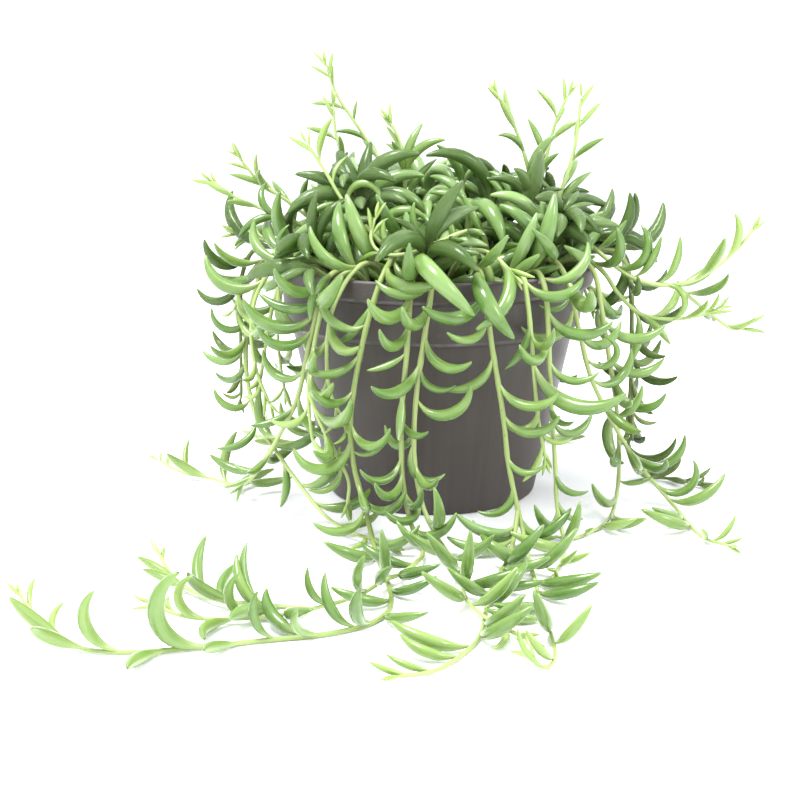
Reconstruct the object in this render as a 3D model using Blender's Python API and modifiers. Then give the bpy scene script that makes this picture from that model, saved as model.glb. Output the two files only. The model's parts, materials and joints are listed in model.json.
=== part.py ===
"""Potted string of bananas: a trailing succulent in a round plastic nursery pot.

The plant stands in the pot's soil. Every leafy stem is one solid: its stem with its leaves grown on.
Stems rise from plain holes in the soil, arch over the rim, hang down the pot and run along the surface
that the pot stands on. Leaves are banana shaped: they leave the stem forwards and hook back.

Sizes below are in millimetres, and MM turns them into Blender's metres. +Z is up, +X is right and -Y is
the front of the plant. The origin is the centre of the pot's flat base.
"""
import math
import random

import bmesh
import bpy
import numpy as np
from mathutils import kdtree

MM = 0.001

# Driving sizes of the pot and its soil
POT_TOP_D = 130.0
POT_BASE_D = 85.0
POT_HEIGHT = 94.0
POT_WALL = 1.3
BASE_EDGE = 0.9
BAND_Z = 69.0
BAND_R = 57.0
BAND_STEP = 2.3
LIP_Z = 85.0
LIP_STEP = 3.2
LIP_R = 64.0
STEP_RISE = 1.4
RIM_ROUND = 0.7
POT_SIDES = 40
SOIL_Z = 84.0

# Gaps between neighbouring solids
GAP = 0.3
STEM_GAP = 0.5
LEAF_GAP = 0.35
FLOOR_GAP = 0.15

# Stems
STEM_R = 1.2
BRANCH_R = 0.95
TIP_R = 0.62
ROOT_DEPTH = 6.0
ROOT_RISE = 2.5
HOLE_SIDES = 4
PATH_STEP = 4.5
CHORD_ERROR = 0.9
LONGEST_CHORD = 26.0
SETTLE_ROUNDS = 90
# Settling: how often neighbours are looked for again, how strongly a stem is smoothed and drawn back to its
# route, and how much further than needed two stems are pushed apart
LOOK_AGAIN = 6
SMOOTHING = 0.25
DRAW_BACK = 0.06
PUSH_SHARE = 1.25

# Faces that meet at more than this angle, in degrees, keep a sharp edge
SHARP = 50.0

# Leaves
SLIM = 0.1
PLUMP = 0.122
LEAF_MIN_R = 0.8
LEAST_BEND = 4.0
# Shares of a leaf's length at which its rings stand, and the bend in degrees that each set is good for
LEAF_RINGS = {
    3: (38.0, (0, 0.24, 0.68, 1)),
    4: (118.0, (0, 0.16, 0.46, 0.79, 1)),
    5: (360.0, (0, 0.14, 0.36, 0.62, 0.85, 1)),
}
SMALL_LEAF = 19.0
SMALLEST_LEAF = 8.0
# Each kind of stem: its leaves' length, their half width as a share of it, and their spacing
HABITS = {
    "mound": (33.0, PLUMP, 9.0),
    "shoot": (20.0, SLIM, 16.0),
    "stem": (25.0, SLIM, 22.5),
}
GOLDEN_ANGLE = 137.5
UPRIGHT = 0.75
# By how much leaves differ: in degrees off the spiral, off the way out and off the stem, and as shares
SPIRAL_SPREAD = 18
SIDE_RANGE = (20, 95)
START_RANGE = (24, 44)
SIZE_RANGE = (0.86, 1.12)
STEP_RANGE = (0.85, 1.2)
# How far a leaf hooks back on a level stem, how much less on a rising one, and by how much that differs
HOOK = 66
HOOK_BY_RISE = 38
HOOK_SPREAD = 18
MOUND_HOOKS = (55, 115)
# Where the first leaf grows, from the foot of a stem in the soil or of one on another stem
FIRST_LEAF = ROOT_DEPTH + ROOT_RISE + 3.0
FIRST_ON_BRANCH = 8.0
# Growing tips: how far back their leaves are smaller, and the size of the last one
YOUNG_REACH = 48.0
YOUNG_SHARE = 0.38
SEED = 11
MOST_RODS = 9000
BATCH = 24
# How much a leaf's place in the order of changes counts, and how much it counts to miss its own stem
ORDER_COST = 0.02
OWN_GAP = 0.1
OWN_COST = 2.0


def pot_outer_profile():
    """Radius and height of the pot's outer side, from the foot up to the rim."""
    top_r = POT_TOP_D / 2
    return [
        (POT_BASE_D / 2 - BASE_EDGE, 0.0),
        (POT_BASE_D / 2, BASE_EDGE),
        (BAND_R, BAND_Z),
        (BAND_R + BAND_STEP, BAND_Z + STEP_RISE),
        (LIP_R - LIP_STEP, LIP_Z),
        (LIP_R, LIP_Z + STEP_RISE),
        (top_r, POT_HEIGHT - RIM_ROUND),
        (top_r - RIM_ROUND, POT_HEIGHT),
    ]


def pot_inner_profile():
    """Radius and height of the pot's inner side, from the rim down to the floor's edge."""
    top_r = POT_TOP_D / 2
    return [
        (top_r - POT_WALL - 0.2, POT_HEIGHT),
        (LIP_R - POT_WALL, LIP_Z + STEP_RISE + POT_WALL),
        (LIP_R - LIP_STEP - POT_WALL, LIP_Z + POT_WALL),
        (BAND_R + BAND_STEP - POT_WALL, BAND_Z + STEP_RISE + POT_WALL),
        (BAND_R - POT_WALL, BAND_Z + POT_WALL),
        (POT_BASE_D / 2 - POT_WALL, POT_WALL),
    ]


# Cross-section of pot and soil together, which stems and leaves keep clear of
SOIL_EDGE_R = LIP_R - LIP_STEP - POT_WALL
BODY = np.array(
    [(0.0, 0.0)] + pot_outer_profile() + pot_inner_profile()[:3] + [(SOIL_EDGE_R, SOIL_Z), (0.0, SOIL_Z)]
)


def unit(v):
    return v / np.linalg.norm(v)


def body_gap(points):
    """Distance of each point from pot and soil, negative inside them, and the direction that leads out."""
    rho = np.hypot(points[:, 0], points[:, 1])
    flat = np.stack([rho, points[:, 2]], 1)[:, None]
    start, edge = BODY[:-1], BODY[1:] - BODY[:-1]
    t = np.clip(((flat - start) * edge).sum(2) / (edge * edge).sum(1), 0, 1)
    away = flat - (start + t[..., None] * edge)
    dist = np.linalg.norm(away, axis=2)
    k = dist.argmin(1)
    rows = np.arange(len(points))
    dist, away = dist[rows, k], away[rows, k]
    low = np.minimum(start[:, 1], start[:, 1] + edge[:, 1])
    high = np.maximum(start[:, 1], start[:, 1] + edge[:, 1])
    level = flat[:, :, 1]
    slope = np.where(edge[:, 1] == 0, 1.0, edge[:, 1])
    crossing_r = start[:, 0] + (level - start[:, 1]) / slope * edge[:, 0]
    crossings = ((level >= low) & (level < high) & (crossing_r > flat[:, :, 0])).sum(1)
    inside = crossings % 2 == 1
    out = away / np.maximum(dist, 1e-9)[:, None]
    out[inside] *= -1
    radial = points[:, :2] / np.maximum(rho, 1e-9)[:, None]
    direction = np.column_stack([radial * out[:, :1], out[:, 1]])
    return np.where(inside, -dist, dist), direction


def nearest_on_segments(p1, q1, p2, q2):
    """Where two segments come nearest, as a share of each one's length. Works on whole arrays."""
    d1, d2, r = q1 - p1, q2 - p2, p1 - p2
    a = (d1 * d1).sum(-1) + 1e-12
    e = (d2 * d2).sum(-1) + 1e-12
    b = (d1 * d2).sum(-1)
    c = (d1 * r).sum(-1)
    f = (d2 * r).sum(-1)
    denom = a * e - b * b
    s = np.where(denom > 1e-9, np.clip((b * f - c * e) / np.maximum(denom, 1e-9), 0, 1), 0.0)
    t = np.clip((b * s + f) / e, 0, 1)
    s = np.clip((b * t - c) / a, 0, 1)
    return s, t


def smooth_path(points, step):
    """Even steps along a smooth curve through the points. The first point only sets its direction."""
    pts = [np.array(p, float) for p in points]
    pts.append(2 * pts[-1] - pts[-2])
    dense = [pts[1]]
    for p0, p1, p2, p3 in zip(pts, pts[1:], pts[2:], pts[3:]):
        span = np.linalg.norm(p2 - p1)
        m1 = span * (p2 - p0) / (np.linalg.norm(p2 - p1) + np.linalg.norm(p1 - p0))
        m2 = span * (p3 - p1) / (np.linalg.norm(p3 - p2) + np.linalg.norm(p2 - p1))
        for k in range(1, 13):
            u = k / 12
            dense.append(
                (2 * u**3 - 3 * u**2 + 1) * p1
                + (u**3 - 2 * u**2 + u) * m1
                + (3 * u**2 - 2 * u**3) * p2
                + (u**3 - u**2) * m2
            )
    dense = np.array(dense)
    lengths = np.concatenate([[0], np.cumsum(np.linalg.norm(np.diff(dense, axis=0), axis=1))])
    count = max(2, round(lengths[-1] / step))
    wanted = np.linspace(0, lengths[-1], count + 1)
    return np.column_stack([np.interp(wanted, lengths, dense[:, i]) for i in range(3)])


class Stem:
    """One stem: its points, its radii, and the node that it belongs to."""

    def __init__(self, node, route, parent=None, tip_r=TIP_R):
        self.node = node
        self.parent = parent
        if parent is None:
            x, y = route[0]
            bottom, top = (x, y, SOIL_Z - ROOT_DEPTH), (x, y, SOIL_Z + ROOT_RISE)
            path = smooth_path([bottom, top] + list(route[1:]), PATH_STEP)
            self.points = np.vstack([[bottom], path])
            self.fixed = 2
            self.base_r = STEM_R
        else:
            first = np.array(route[0], float)
            self.link = int(np.linalg.norm(parent.points - first, axis=1).argmin())
            start = parent.points[self.link]
            back = parent.points[self.link - 1]
            self.points = smooth_path([back, start] + list(route[1:]), PATH_STEP)
            self.fixed = 1
            self.base_r = BRANCH_R
        self.tip_r = tip_r
        self.keep = {0, self.fixed - 1}
        if parent is not None:
            parent.keep.add(self.link)

    def lengths(self):
        return np.concatenate([[0], np.cumsum(np.linalg.norm(np.diff(self.points, axis=0), axis=1))])

    def radii(self):
        along = self.lengths()
        return self.base_r + (self.tip_r - self.base_r) * (along / along[-1]) ** 1.3

    def decimate(self):
        """Keeps only the points that the stem's shape needs."""
        keep = set(self.keep) | {len(self.points) - 1}
        along = self.lengths()
        spans = list(zip(sorted(keep), sorted(keep)[1:]))
        while spans:
            a, b = spans.pop()
            if b - a < 2:
                continue
            chord = self.points[b] - self.points[a]
            rel = self.points[a + 1:b] - self.points[a]
            t = np.clip(rel @ chord / (chord @ chord), 0, 1)
            off = np.linalg.norm(rel - t[:, None] * chord, axis=1)
            if off.max() > CHORD_ERROR:
                mid = a + 1 + int(off.argmax())
            elif along[b] - along[a] > LONGEST_CHORD:
                mid = (a + b) // 2
            else:
                continue
            keep.add(mid)
            spans += [(a, mid), (mid, b)]
        order = sorted(keep)
        self.renumber = {old: new for new, old in enumerate(order)}
        self.points = self.points[order]

    def at(self, along):
        """The point and the growing direction at a distance along the stem."""
        lengths = self.lengths()
        along = min(max(along, 0.01), lengths[-1] - 0.01)
        k = int(np.searchsorted(lengths, along)) - 1
        a, b = self.points[k], self.points[k + 1]
        t = (along - lengths[k]) / (lengths[k + 1] - lengths[k])
        before = unit(b - a)
        if t > 0.5 and k + 2 < len(self.points):
            after = unit(self.points[k + 2] - b)
            direction = unit(before * (1.5 - t) + after * (t - 0.5))
        elif t < 0.5 and k > 0:
            earlier = unit(a - self.points[k - 1])
            direction = unit(before * (0.5 + t) + earlier * (0.5 - t))
        else:
            direction = before
        return a + (b - a) * t, direction


def settle(stems, rounds, ease):
    """Pushes the stems apart and out of pot, soil and floor, a little at a time.

    ease is how strongly each round also smooths the stems and draws them back to their own routes.
    """
    node_ids = {name: i for i, name in enumerate(dict.fromkeys(s.node for s in stems))}
    starts = np.cumsum([0] + [len(s.points) for s in stems])
    pts = np.vstack([s.points for s in stems])
    home = pts.copy()
    rad = np.concatenate([s.radii() for s in stems])
    movable = np.ones(len(pts))
    seg_a, seg_node = [], []
    for s, first in zip(stems, starts):
        movable[first:first + s.fixed] = 0
        seg_a += range(first, first + len(s.points) - 1)
        seg_node += [node_ids[s.node]] * (len(s.points) - 1)
    seg_a, seg_node = np.array(seg_a), np.array(seg_node)
    inner = []
    for s, first in zip(stems, starts):
        inner += range(first + s.fixed, first + len(s.points) - 1)
    inner = np.array(inner)
    index = {id(s): first for s, first in zip(stems, starts)}
    free_seg = movable[seg_a + 1] > 0
    reach = np.linalg.norm(pts[seg_a + 1] - pts[seg_a], axis=1).max() + 2 * STEM_R + STEM_GAP + 1.0
    pairs = None
    for turn in range(rounds):
        if turn % LOOK_AGAIN == 0:
            mids = (pts[seg_a] + pts[seg_a + 1]) / 2
            tree = kdtree.KDTree(len(mids))
            for i, m in enumerate(mids):
                tree.insert(m, i)
            tree.balance()
            found = set()
            for i, m in enumerate(mids):
                for _, j, _ in tree.find_range(m, reach):
                    if j > i and seg_node[i] != seg_node[j]:
                        found.add((i, j))
            pairs = np.array(sorted(found)).reshape(-1, 2)
        if ease:
            middle = (pts[inner - 1] + pts[inner + 1]) / 2
            pts[inner] += SMOOTHING * ease * (middle - pts[inner])
            pts += (DRAW_BACK * ease * (home - pts)) * movable[:, None]
        ia, ja = seg_a[pairs[:, 0]], seg_a[pairs[:, 1]]
        s, t = nearest_on_segments(pts[ia], pts[ia + 1], pts[ja], pts[ja + 1])
        ci = pts[ia] * (1 - s)[:, None] + pts[ia + 1] * s[:, None]
        cj = pts[ja] * (1 - t)[:, None] + pts[ja + 1] * t[:, None]
        apart = ci - cj
        dist = np.linalg.norm(apart, axis=1)
        need = rad[ia] + rad[ja] + STEM_GAP
        close = dist < need
        push = np.zeros_like(pts)
        weight = np.zeros(len(pts))
        for i0, j0, si, tj, ap, ds, nd in zip(
            ia[close], ja[close], s[close], t[close], apart[close], dist[close], need[close]
        ):
            way = ap / ds if ds > 0.05 else np.array([0.0, 0.0, 1.0])
            move = way * (nd - ds) * 0.5
            for k, w, sign in ((i0, 1 - si, 1), (i0 + 1, si, 1), (j0, 1 - tj, -1), (j0 + 1, tj, -1)):
                push[k] += sign * w * move
                weight[k] += w
        pts += push / np.maximum(weight, 0.6)[:, None] * PUSH_SHARE * movable[:, None]
        for share in (0.0, 0.5):
            a, b = seg_a[free_seg], seg_a[free_seg] + 1
            where = pts[b] * (1 - share) + pts[a] * share
            gap, out = body_gap(where)
            short = np.maximum(rad[a] + STEM_GAP - gap, 0)
            np.add.at(pts, b, out * (short * (1 - share * 0.5))[:, None] * movable[b][:, None])
            if share:
                np.add.at(pts, a, out * (short * 0.75)[:, None] * movable[a][:, None])
        floor = rad + FLOOR_GAP
        pts[:, 2] = np.where(movable > 0, np.maximum(pts[:, 2], floor), pts[:, 2])
        for stem in stems:
            if stem.parent is not None:
                pts[index[id(stem)]] = pts[index[id(stem.parent)] + stem.link]
    for stem, first in zip(stems, starts):
        stem.points = np.round(pts[first:first + len(stem.points)], 3)


def leaf_width(t):
    """Half width of a leaf at a share t of its length, as a share of its greatest half width."""
    narrow_foot = 0.42 + 0.58 * np.clip(t / 0.3, 0, 1) ** 1.2
    return (1 - (2 * t**0.92 - 1) ** 2) ** 0.62 * narrow_foot


def pieces_for(bend):
    """How many pieces a leaf's centre line has: more, the more it is bent."""
    return min(pieces for pieces, (most, _) in LEAF_RINGS.items() if bend <= most)


def leaf_line(root, along, out, start, bend, length, steps):
    """Centre line of a leaf that leaves the stem at start degrees and hooks back by bend degrees."""
    fine = 24
    t = (np.arange(fine) + 0.5) / fine
    angle = np.radians(start + bend * t)
    moves = (np.cos(angle)[:, None] * along + np.sin(angle)[:, None] * out) * (length / fine)
    line = np.vstack([[root], root + np.cumsum(moves, axis=0)])
    shares = np.linspace(0, 1, fine + 1)
    return np.column_stack([np.interp(steps, shares, line[:, i]) for i in range(3)])


def side_of(along, toward):
    """The unit direction across the stem that points nearest to the one given."""
    toward = np.array(toward, float)
    across = toward - (toward @ along) * along
    if np.linalg.norm(across) < 1e-3:
        across = np.cross(along, [0.3, 0.9, 0.1])
    return unit(across)


def turned(out, along, degrees):
    a = math.radians(degrees)
    return out * math.cos(a) + np.cross(along, out) * math.sin(a)


# Small changes to a leaf that would touch something, mildest first: turn, start, bend and scale
CHANGES = sorted(
    (
        (turn, start, bend, scale)
        for turn in (0, 14, -14, 28, -28, 45, -45, 65, -65, 90, -90, 120, -120, 160)
        for start in (0, 14, -12, 28)
        for bend in (0, -22, 18, -45)
        for scale in (1.0, 0.88, 0.76, 0.64)
    ),
    key=lambda c: abs(c[0]) / 26 + abs(c[1]) / 14 + abs(c[2]) / 22 + (1 - c[3]) * 9,
)

# The same for a leaf that is aimed: how far it leans back, a share of its bend, and its scale
AIMED_CHANGES = sorted(
    (
        (lean, bend, scale)
        for lean in (-0.2, 0.0, -0.4, 0.2, -0.7, 0.4, -1.1, 0.8, -1.6)
        for bend in (1.0, 0.8, 1.2, 0.55)
        for scale in (1.0, 0.93, 0.86, 0.78, 0.7)
    ),
    key=lambda c: abs(c[0] + 0.2) * 4 + abs(c[1] - 1) * 5 + (1 - c[2]) * 14,
)
MOST_TURN_AIMED = 50


class Leaf:
    """A placed leaf: its stem, its few-pointed line with radii, and the arc it follows."""

    def __init__(self, stem, line, radii, arc):
        self.stem = stem
        self.line = line
        self.radii = radii
        self.arc = arc


class Layout:
    """All stems and leaves, with what has been placed so far kept as round-ended rods to test against."""

    def __init__(self, stems):
        self.stems = stems
        self.leaves = []
        self.a = np.zeros((MOST_RODS, 3))
        self.b = np.zeros((MOST_RODS, 3))
        self.ra = np.zeros(MOST_RODS)
        self.rb = np.zeros(MOST_RODS)
        self.node = np.zeros(MOST_RODS, int)
        self.count = 0
        self.ids = {name: i for i, name in enumerate(dict.fromkeys(s.node for s in stems))}
        for stem in stems:
            self.add_rods(stem.points, stem.radii(), self.ids[stem.node])

    def add_rods(self, points, radii, node_id):
        n = len(points) - 1
        rows = slice(self.count, self.count + n)
        self.a[rows], self.b[rows] = points[:-1], points[1:]
        self.ra[rows], self.rb[rows] = radii[:-1], radii[1:]
        self.node[rows] = node_id
        self.count += n

    def gaps(self, lines, radii, near, skip):
        """Least gap from each candidate line to the rods near by, leaving out its first skip pieces."""
        if not len(near):
            return np.full(len(lines), 99.0)
        p1, q1 = lines[:, skip:-1, None], lines[:, skip + 1:, None]
        r1, s1 = radii[:, skip:-1, None], radii[:, skip + 1:, None]
        p2, q2 = self.a[near][None, None], self.b[near][None, None]
        s, t = nearest_on_segments(p1, q1, p2, q2)
        apart = p1 + (q1 - p1) * s[..., None] - p2 - (q2 - p2) * t[..., None]
        reach = r1 + (s1 - r1) * s + self.ra[near] + (self.rb[near] - self.ra[near]) * t
        return (np.linalg.norm(apart, axis=-1) - reach).min(axis=(1, 2))

    def grow_leaf(self, stem, along_mm, toward, start, bend, length, fat, most_turn=180):
        """Adds one leaf, changed as little as keeps it clear of other stems, pot, soil and floor."""
        root, along = stem.at(along_mm)
        out = side_of(along, toward)
        arcs = [
            (root, along, turned(out, along, turn), start + more, max(bend + hook, LEAST_BEND),
             length * scale)
            for turn, more, hook, scale in CHANGES if abs(turn) <= most_turn
        ]
        return self.place(stem, arcs, fat)

    def place(self, stem, arcs, fat):
        """Adds the first of some arcs, mildest first, that leaves enough room."""
        root = arcs[0][0]
        longest = max(arc[-1] for arc in arcs)
        node_id = self.ids[stem.node]
        mids = (self.a[:self.count] + self.b[:self.count]) / 2
        close = np.linalg.norm(mids - root, axis=1) < longest + LONGEST_CHORD / 2
        others = np.nonzero(close & (self.node[:self.count] != node_id))[0]
        own = np.nonzero(close & (self.node[:self.count] == node_id))[0]
        for first in range(0, len(arcs), BATCH):
            batch = arcs[first:first + BATCH]
            for pieces in dict.fromkeys(pieces_for(arc[4]) for arc in batch):
                chosen = [arc for arc in batch if pieces_for(arc[4]) == pieces]
                best = self.best_arc(chosen, np.array(LEAF_RINGS[pieces][1]), fat, others, own)
                if best is not None:
                    line, radii, arc = best
                    line = np.round(line, 3)
                    self.add_rods(line, radii, node_id)
                    self.leaves.append(Leaf(stem, line, radii, arc))
                    return True
        return False

    def best_arc(self, arcs, steps, fat, others, own):
        """The mildest arc that leaves enough room, with the leaf's line and radii."""
        lines = np.array([leaf_line(*arc, steps) for arc in arcs])
        radii = np.array([leaf_width(steps) * max(arc[-1] * fat, LEAF_MIN_R) for arc in arcs])
        shares = (0.2, 0.4, 0.6, 0.8, 1.0)
        tested = np.concatenate([lines[:, :-1] * (1 - u) + lines[:, 1:] * u for u in shares], axis=1)
        tested_r = np.concatenate([radii[:, :-1] * (1 - u) + radii[:, 1:] * u for u in shares], axis=1)
        flat, flat_r = tested.reshape(-1, 3), tested_r.reshape(-1)
        free = (body_gap(flat)[0] >= flat_r + GAP) & (flat[:, 2] >= flat_r + FLOOR_GAP)
        clear = free.reshape(tested_r.shape).all(axis=1)
        if clear.any():
            clear[clear] = self.gaps(lines[clear], radii[clear], others, 0) >= LEAF_GAP
        if not clear.any():
            return None
        own_gap = self.gaps(lines, radii, own, 2)
        order = np.arange(len(arcs)) * ORDER_COST + np.maximum(OWN_GAP - own_gap, 0) * OWN_COST
        order[~clear] = np.inf
        k = int(order.argmin())
        return lines[k], radii[k], arcs[k]

    def grow_aimed(self, stem, along_mm, aim, reach, bend, fat):
        """Adds a leaf that points a given way as seen from the front, bowed towards the stem's tip."""
        root, along = stem.at(along_mm)
        arcs = []
        for lean, bend_share, scale in AIMED_CHANGES:
            chord = unit(np.array([math.cos(math.radians(aim)), lean, math.sin(math.radians(aim))]))
            half = math.radians(bend * bend_share / 2)
            length = reach * scale * half / math.sin(half)
            start = math.degrees(math.acos(float(np.clip(chord @ along, -1, 1))) - half)
            arcs.append((root, along, side_of(along, chord), start, bend * bend_share, length))
        if not self.place(stem, arcs, fat):
            _, _, out, start, bend, length = arcs[0]
            self.grow_leaf(stem, along_mm, out, start, bend, length, fat, most_turn=MOST_TURN_AIMED)

    def grow_by_rule(self, stem, first, rng, gap_to=()):
        """Leaves all along a stem: in a spiral on an upright one, left and right in turn on the others."""
        kind = stem.node.split("_")[0]
        length, fat, spacing = HABITS.get(kind, HABITS["stem"])
        total = stem.lengths()[-1]
        along_mm = first
        spiral = rng.uniform(0, 360)
        side = rng.choice((-1, 1))
        while along_mm < total - 1.0:
            point, along = stem.at(along_mm)
            if kind in HABITS:
                spiral += GOLDEN_ANGLE + rng.uniform(-SPIRAL_SPREAD, SPIRAL_SPREAD)
                toward = turned(side_of(along, (1, 0, 0)), along, spiral)
            else:
                side = -side
                away = (point[0], point[1], 0) if abs(along[2]) > UPRIGHT else (0, 0, 1)
                toward = turned(side_of(along, away), along, side * rng.uniform(*SIDE_RANGE))
            left = total - along_mm
            young = min(1.0, YOUNG_SHARE + left / YOUNG_REACH)
            start = rng.uniform(*START_RANGE) * (0.55 + 0.45 * young)
            hook = HOOK - HOOK_BY_RISE * along[2] + rng.uniform(-HOOK_SPREAD, HOOK_SPREAD)
            if kind == "mound":
                hook = rng.uniform(*MOUND_HOOKS)
            size = length * young * rng.uniform(*SIZE_RANGE)
            step = spacing * (0.45 + 0.55 * young) * rng.uniform(*STEP_RANGE)
            if size >= SMALLEST_LEAF and all(abs(along_mm - other) > spacing * 0.4 for other in gap_to):
                self.grow_leaf(stem, along_mm, toward, start, hook * (0.5 + 0.5 * young), size,
                               fat * (0.8 + 0.2 * young))
            along_mm += step


# Routes of the stems. The first item is where the stem stands in the soil, then points along it to its tip.
TRAILING = {
    "trailing_stem_long": [
        (-8, -22), (-10, -36, 105), (-14, -52, 103), (-17, -62, 98), (-22, -67, 85), (-27, -68, 64),
        (-30, -69, 43), (-29, -69, 28), (-24, -71, 12), (-21, -80, 2), (-17, -104, 1), (-13, -125, 1),
        (-12, -141, 1), (-17, -152, 1), (-28, -160, 1), (-49, -165, 1), (-79, -174, 1), (-103, -175, 1),
        (-115, -165, 3), (-125, -158, 11),
    ],
    "trailing_stem_front_1": [
        (-3, -38), (-6, -56, 99), (-8, -67, 88), (-9, -69, 69), (-11, -70, 52), (-11, -71, 31),
        (-10, -74, 16), (-6, -81, 4), (-1, -92, 3), (-9, -112, 2), (-26, -135, 2), (-38, -144, 2),
        (-54, -151, 2), (-79, -152, 2), (-88, -147, 5),
    ],
    "trailing_stem_front_2": [
        (3, -42), (1, -58, 98), (-1, -67, 88), (-4, -69, 67), (-6, -70, 53), (-7, -71, 38),
        (-6, -73, 25), (-4, -75, 15), (1, -80, 5), (5, -88, 2), (10, -104, 2), (10, -126, 2),
        (14, -148, 2), (21, -158, 2), (29, -165, 2),
    ],
    "trailing_stem_front_3": [
        (12, -36), (16, -52, 101), (17, -63, 97), (19, -67, 87), (22, -68, 67), (25, -68, 52),
        (27, -68, 37), (28, -69, 24), (32, -72, 11), (34, -78, 2), (34, -90, 1), (35, -116, 1),
        (35, -132, 1), (36, -149, 1), (37, -167, 1), (36, -183, 1), (32, -189, 1), (28, -184, 2),
        (29, -176, 4),
    ],
    "trailing_stem_left_1": [
        (-42, -6), (-52, -7, 97), (-62, -8, 100), (-70, -9, 95), (-76, -10, 86), (-80, -10, 74),
    ],
    "trailing_stem_left_2": [
        (-38, -16), (-50, -15, 98), (-61, -15, 99), (-69, -17, 88), (-72, -20, 75), (-74, -22, 62),
        (-73, -24, 48), (-70, -28, 36), (-65, -34, 28), (-58, -41, 22), (-52, -50, 17), (-45, -60, 11),
        (-36, -68, 4), (-26, -74, 2), (-14, -81, 2),
    ],
    "trailing_stem_left_3": [
        (-36, -25), (-47, -25, 98), (-58, -25, 99), (-66, -26, 90), (-70, -30, 80), (-70, -34, 67),
        (-67, -38, 53), (-62, -40, 43),
    ],
    "trailing_stem_left_4": [
        (-30, -32), (-42, -35, 100), (-53, -36, 99), (-58, -36, 91), (-61, -34, 82), (-63, -32, 72),
        (-65, -31, 62), (-67, -30, 50),
    ],
    "trailing_stem_left_5": [
        (-26, -38), (-33, -48, 99), (-38, -56, 97), (-42, -56, 84), (-45, -57, 70), (-48, -56, 56),
        (-52, -50, 43), (-57, -45, 34), (-62, -41, 25), (-70, -30, 12), (-78, -18, 3), (-88, -4, 2),
        (-97, 4, 2), (-110, 8, 2), (-117, 15, 5),
    ],
    "trailing_stem_left_6": [
        (-22, -44), (-29, -53, 100), (-36, -60, 95), (-41, -58, 84), (-43, -58, 71), (-46, -60, 53),
        (-45, -60, 33), (-43, -61, 28), (-38, -64, 29),
    ],
    "trailing_stem_left_7": [
        (-16, -36), (-23, -50, 102), (-30, -60, 97), (-37, -60, 84), (-39, -61, 70), (-38, -62, 55),
        (-35, -64, 44), (-30, -66, 41),
    ],
    "trailing_stem_right_1": [
        (24, -38), (29, -50, 99), (33, -58, 97), (34, -60, 87), (36, -61, 73), (37, -62, 60),
        (38, -62, 47), (40, -62, 37), (42, -61, 28),
    ],
    "trailing_stem_right_2": [
        (31, -32), (37, -47, 98), (40, -55, 97), (42, -57, 86), (42, -59, 72), (43, -60, 58),
        (44, -59, 45), (46, -58, 28), (46, -60, 12), (48, -64, 2), (49, -76, 1), (47, -90, 1),
        (42, -107, 1),
    ],
    "trailing_stem_right_3": [
        (36, -22), (43, -38, 102), (48, -48, 98), (52, -48, 86), (55, -46, 70), (58, -44, 58),
        (62, -41, 51), (66, -37, 43), (71, -33, 33), (77, -30, 23), (84, -27, 14), (90, -26, 7),
        (95, -32, 2), (97, -46, 1), (98, -60, 1), (100, -74, 1), (107, -80, 2),
    ],
    "trailing_stem_right_4": [
        (40, -12), (50, -20, 98), (60, -28, 98), (63, -32, 89), (65, -31, 76), (68, -28, 62),
        (71, -27, 48), (73, -27, 34), (74, -28, 22), (73, -34, 9), (70, -46, 2), (62, -61, 1),
        (52, -71, 1),
    ],
    "arching_stem_right_1": [
        (38, 2), (45, 0, 100), (51, -2, 107), (57, -7, 106), (63, -13, 101), (68, -18, 96),
        (74, -22, 91), (80, -25, 88), (88, -28, 87), (96, -30, 88), (103, -30, 91), (110, -30, 97),
        (117, -29, 103), (121, -28, 110),
    ],
    "arching_stem_right_2": [
        (44, -5), (54, -12, 98), (63, -18, 98), (69, -21, 89), (73, -22, 80), (79, -21, 75),
        (86, -20, 73), (94, -20, 73), (103, -20, 74), (111, -20, 78),
    ],
}

# Stems that start on another one: the stem that carries them, then their route from there
BRANCHES = [
    ("trailing_stem_front_1", [
        (-38, -144, 2), (-52, -145, 4), (-64, -141, 3), (-75, -133, 2), (-88, -115, 2), (-93, -107, 7),
    ]),
    ("trailing_stem_front_3", [
        (32, -72, 11), (30, -80, 5), (27, -95, 1), (21, -116, 1), (18, -132, 1), (17, -147, 1),
        (15, -162, 1), (8, -179, 1), (-2, -190, 1), (-10, -192, 2),
    ]),
    ("trailing_stem_left_5", [
        (-57, -45, 34), (-62, -48, 24), (-68, -48, 16), (-73, -47, 13),
    ]),
    ("trailing_stem_left_6", [
        (-46, -60, 53), (-42, -64, 44), (-37, -66, 36), (-31, -68, 26), (-28, -68, 18), (-31, -69, 12),
    ]),
    ("arching_stem_right_1", [
        (88, -28, 87), (93, -21, 88), (98, -15, 84), (104, -12, 79), (112, -10, 73), (118, -10, 66),
        (124, -10, 65), (127, -10, 71),
    ]),
]

# Stems that trail down the back of the pot: bearing from +X, how far they hang, then how far and on which
# bearing they run along the floor
BACK_SWAY = 5.0
BACK_BEND = 6.0
BACK_STEMS = [
    ("trailing_stem_back_1", 24, 26, 0, 0),
    ("trailing_stem_back_2", 47, 92, 30, 60),
    ("trailing_stem_back_3", 68, 58, 0, 0),
    ("trailing_stem_back_4", 90, 92, 26, 112),
    ("trailing_stem_back_5", 111, 44, 0, 0),
    ("trailing_stem_back_6", 133, 92, 34, 150),
    ("trailing_stem_back_7", 156, 66, 0, 0),
]

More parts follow.
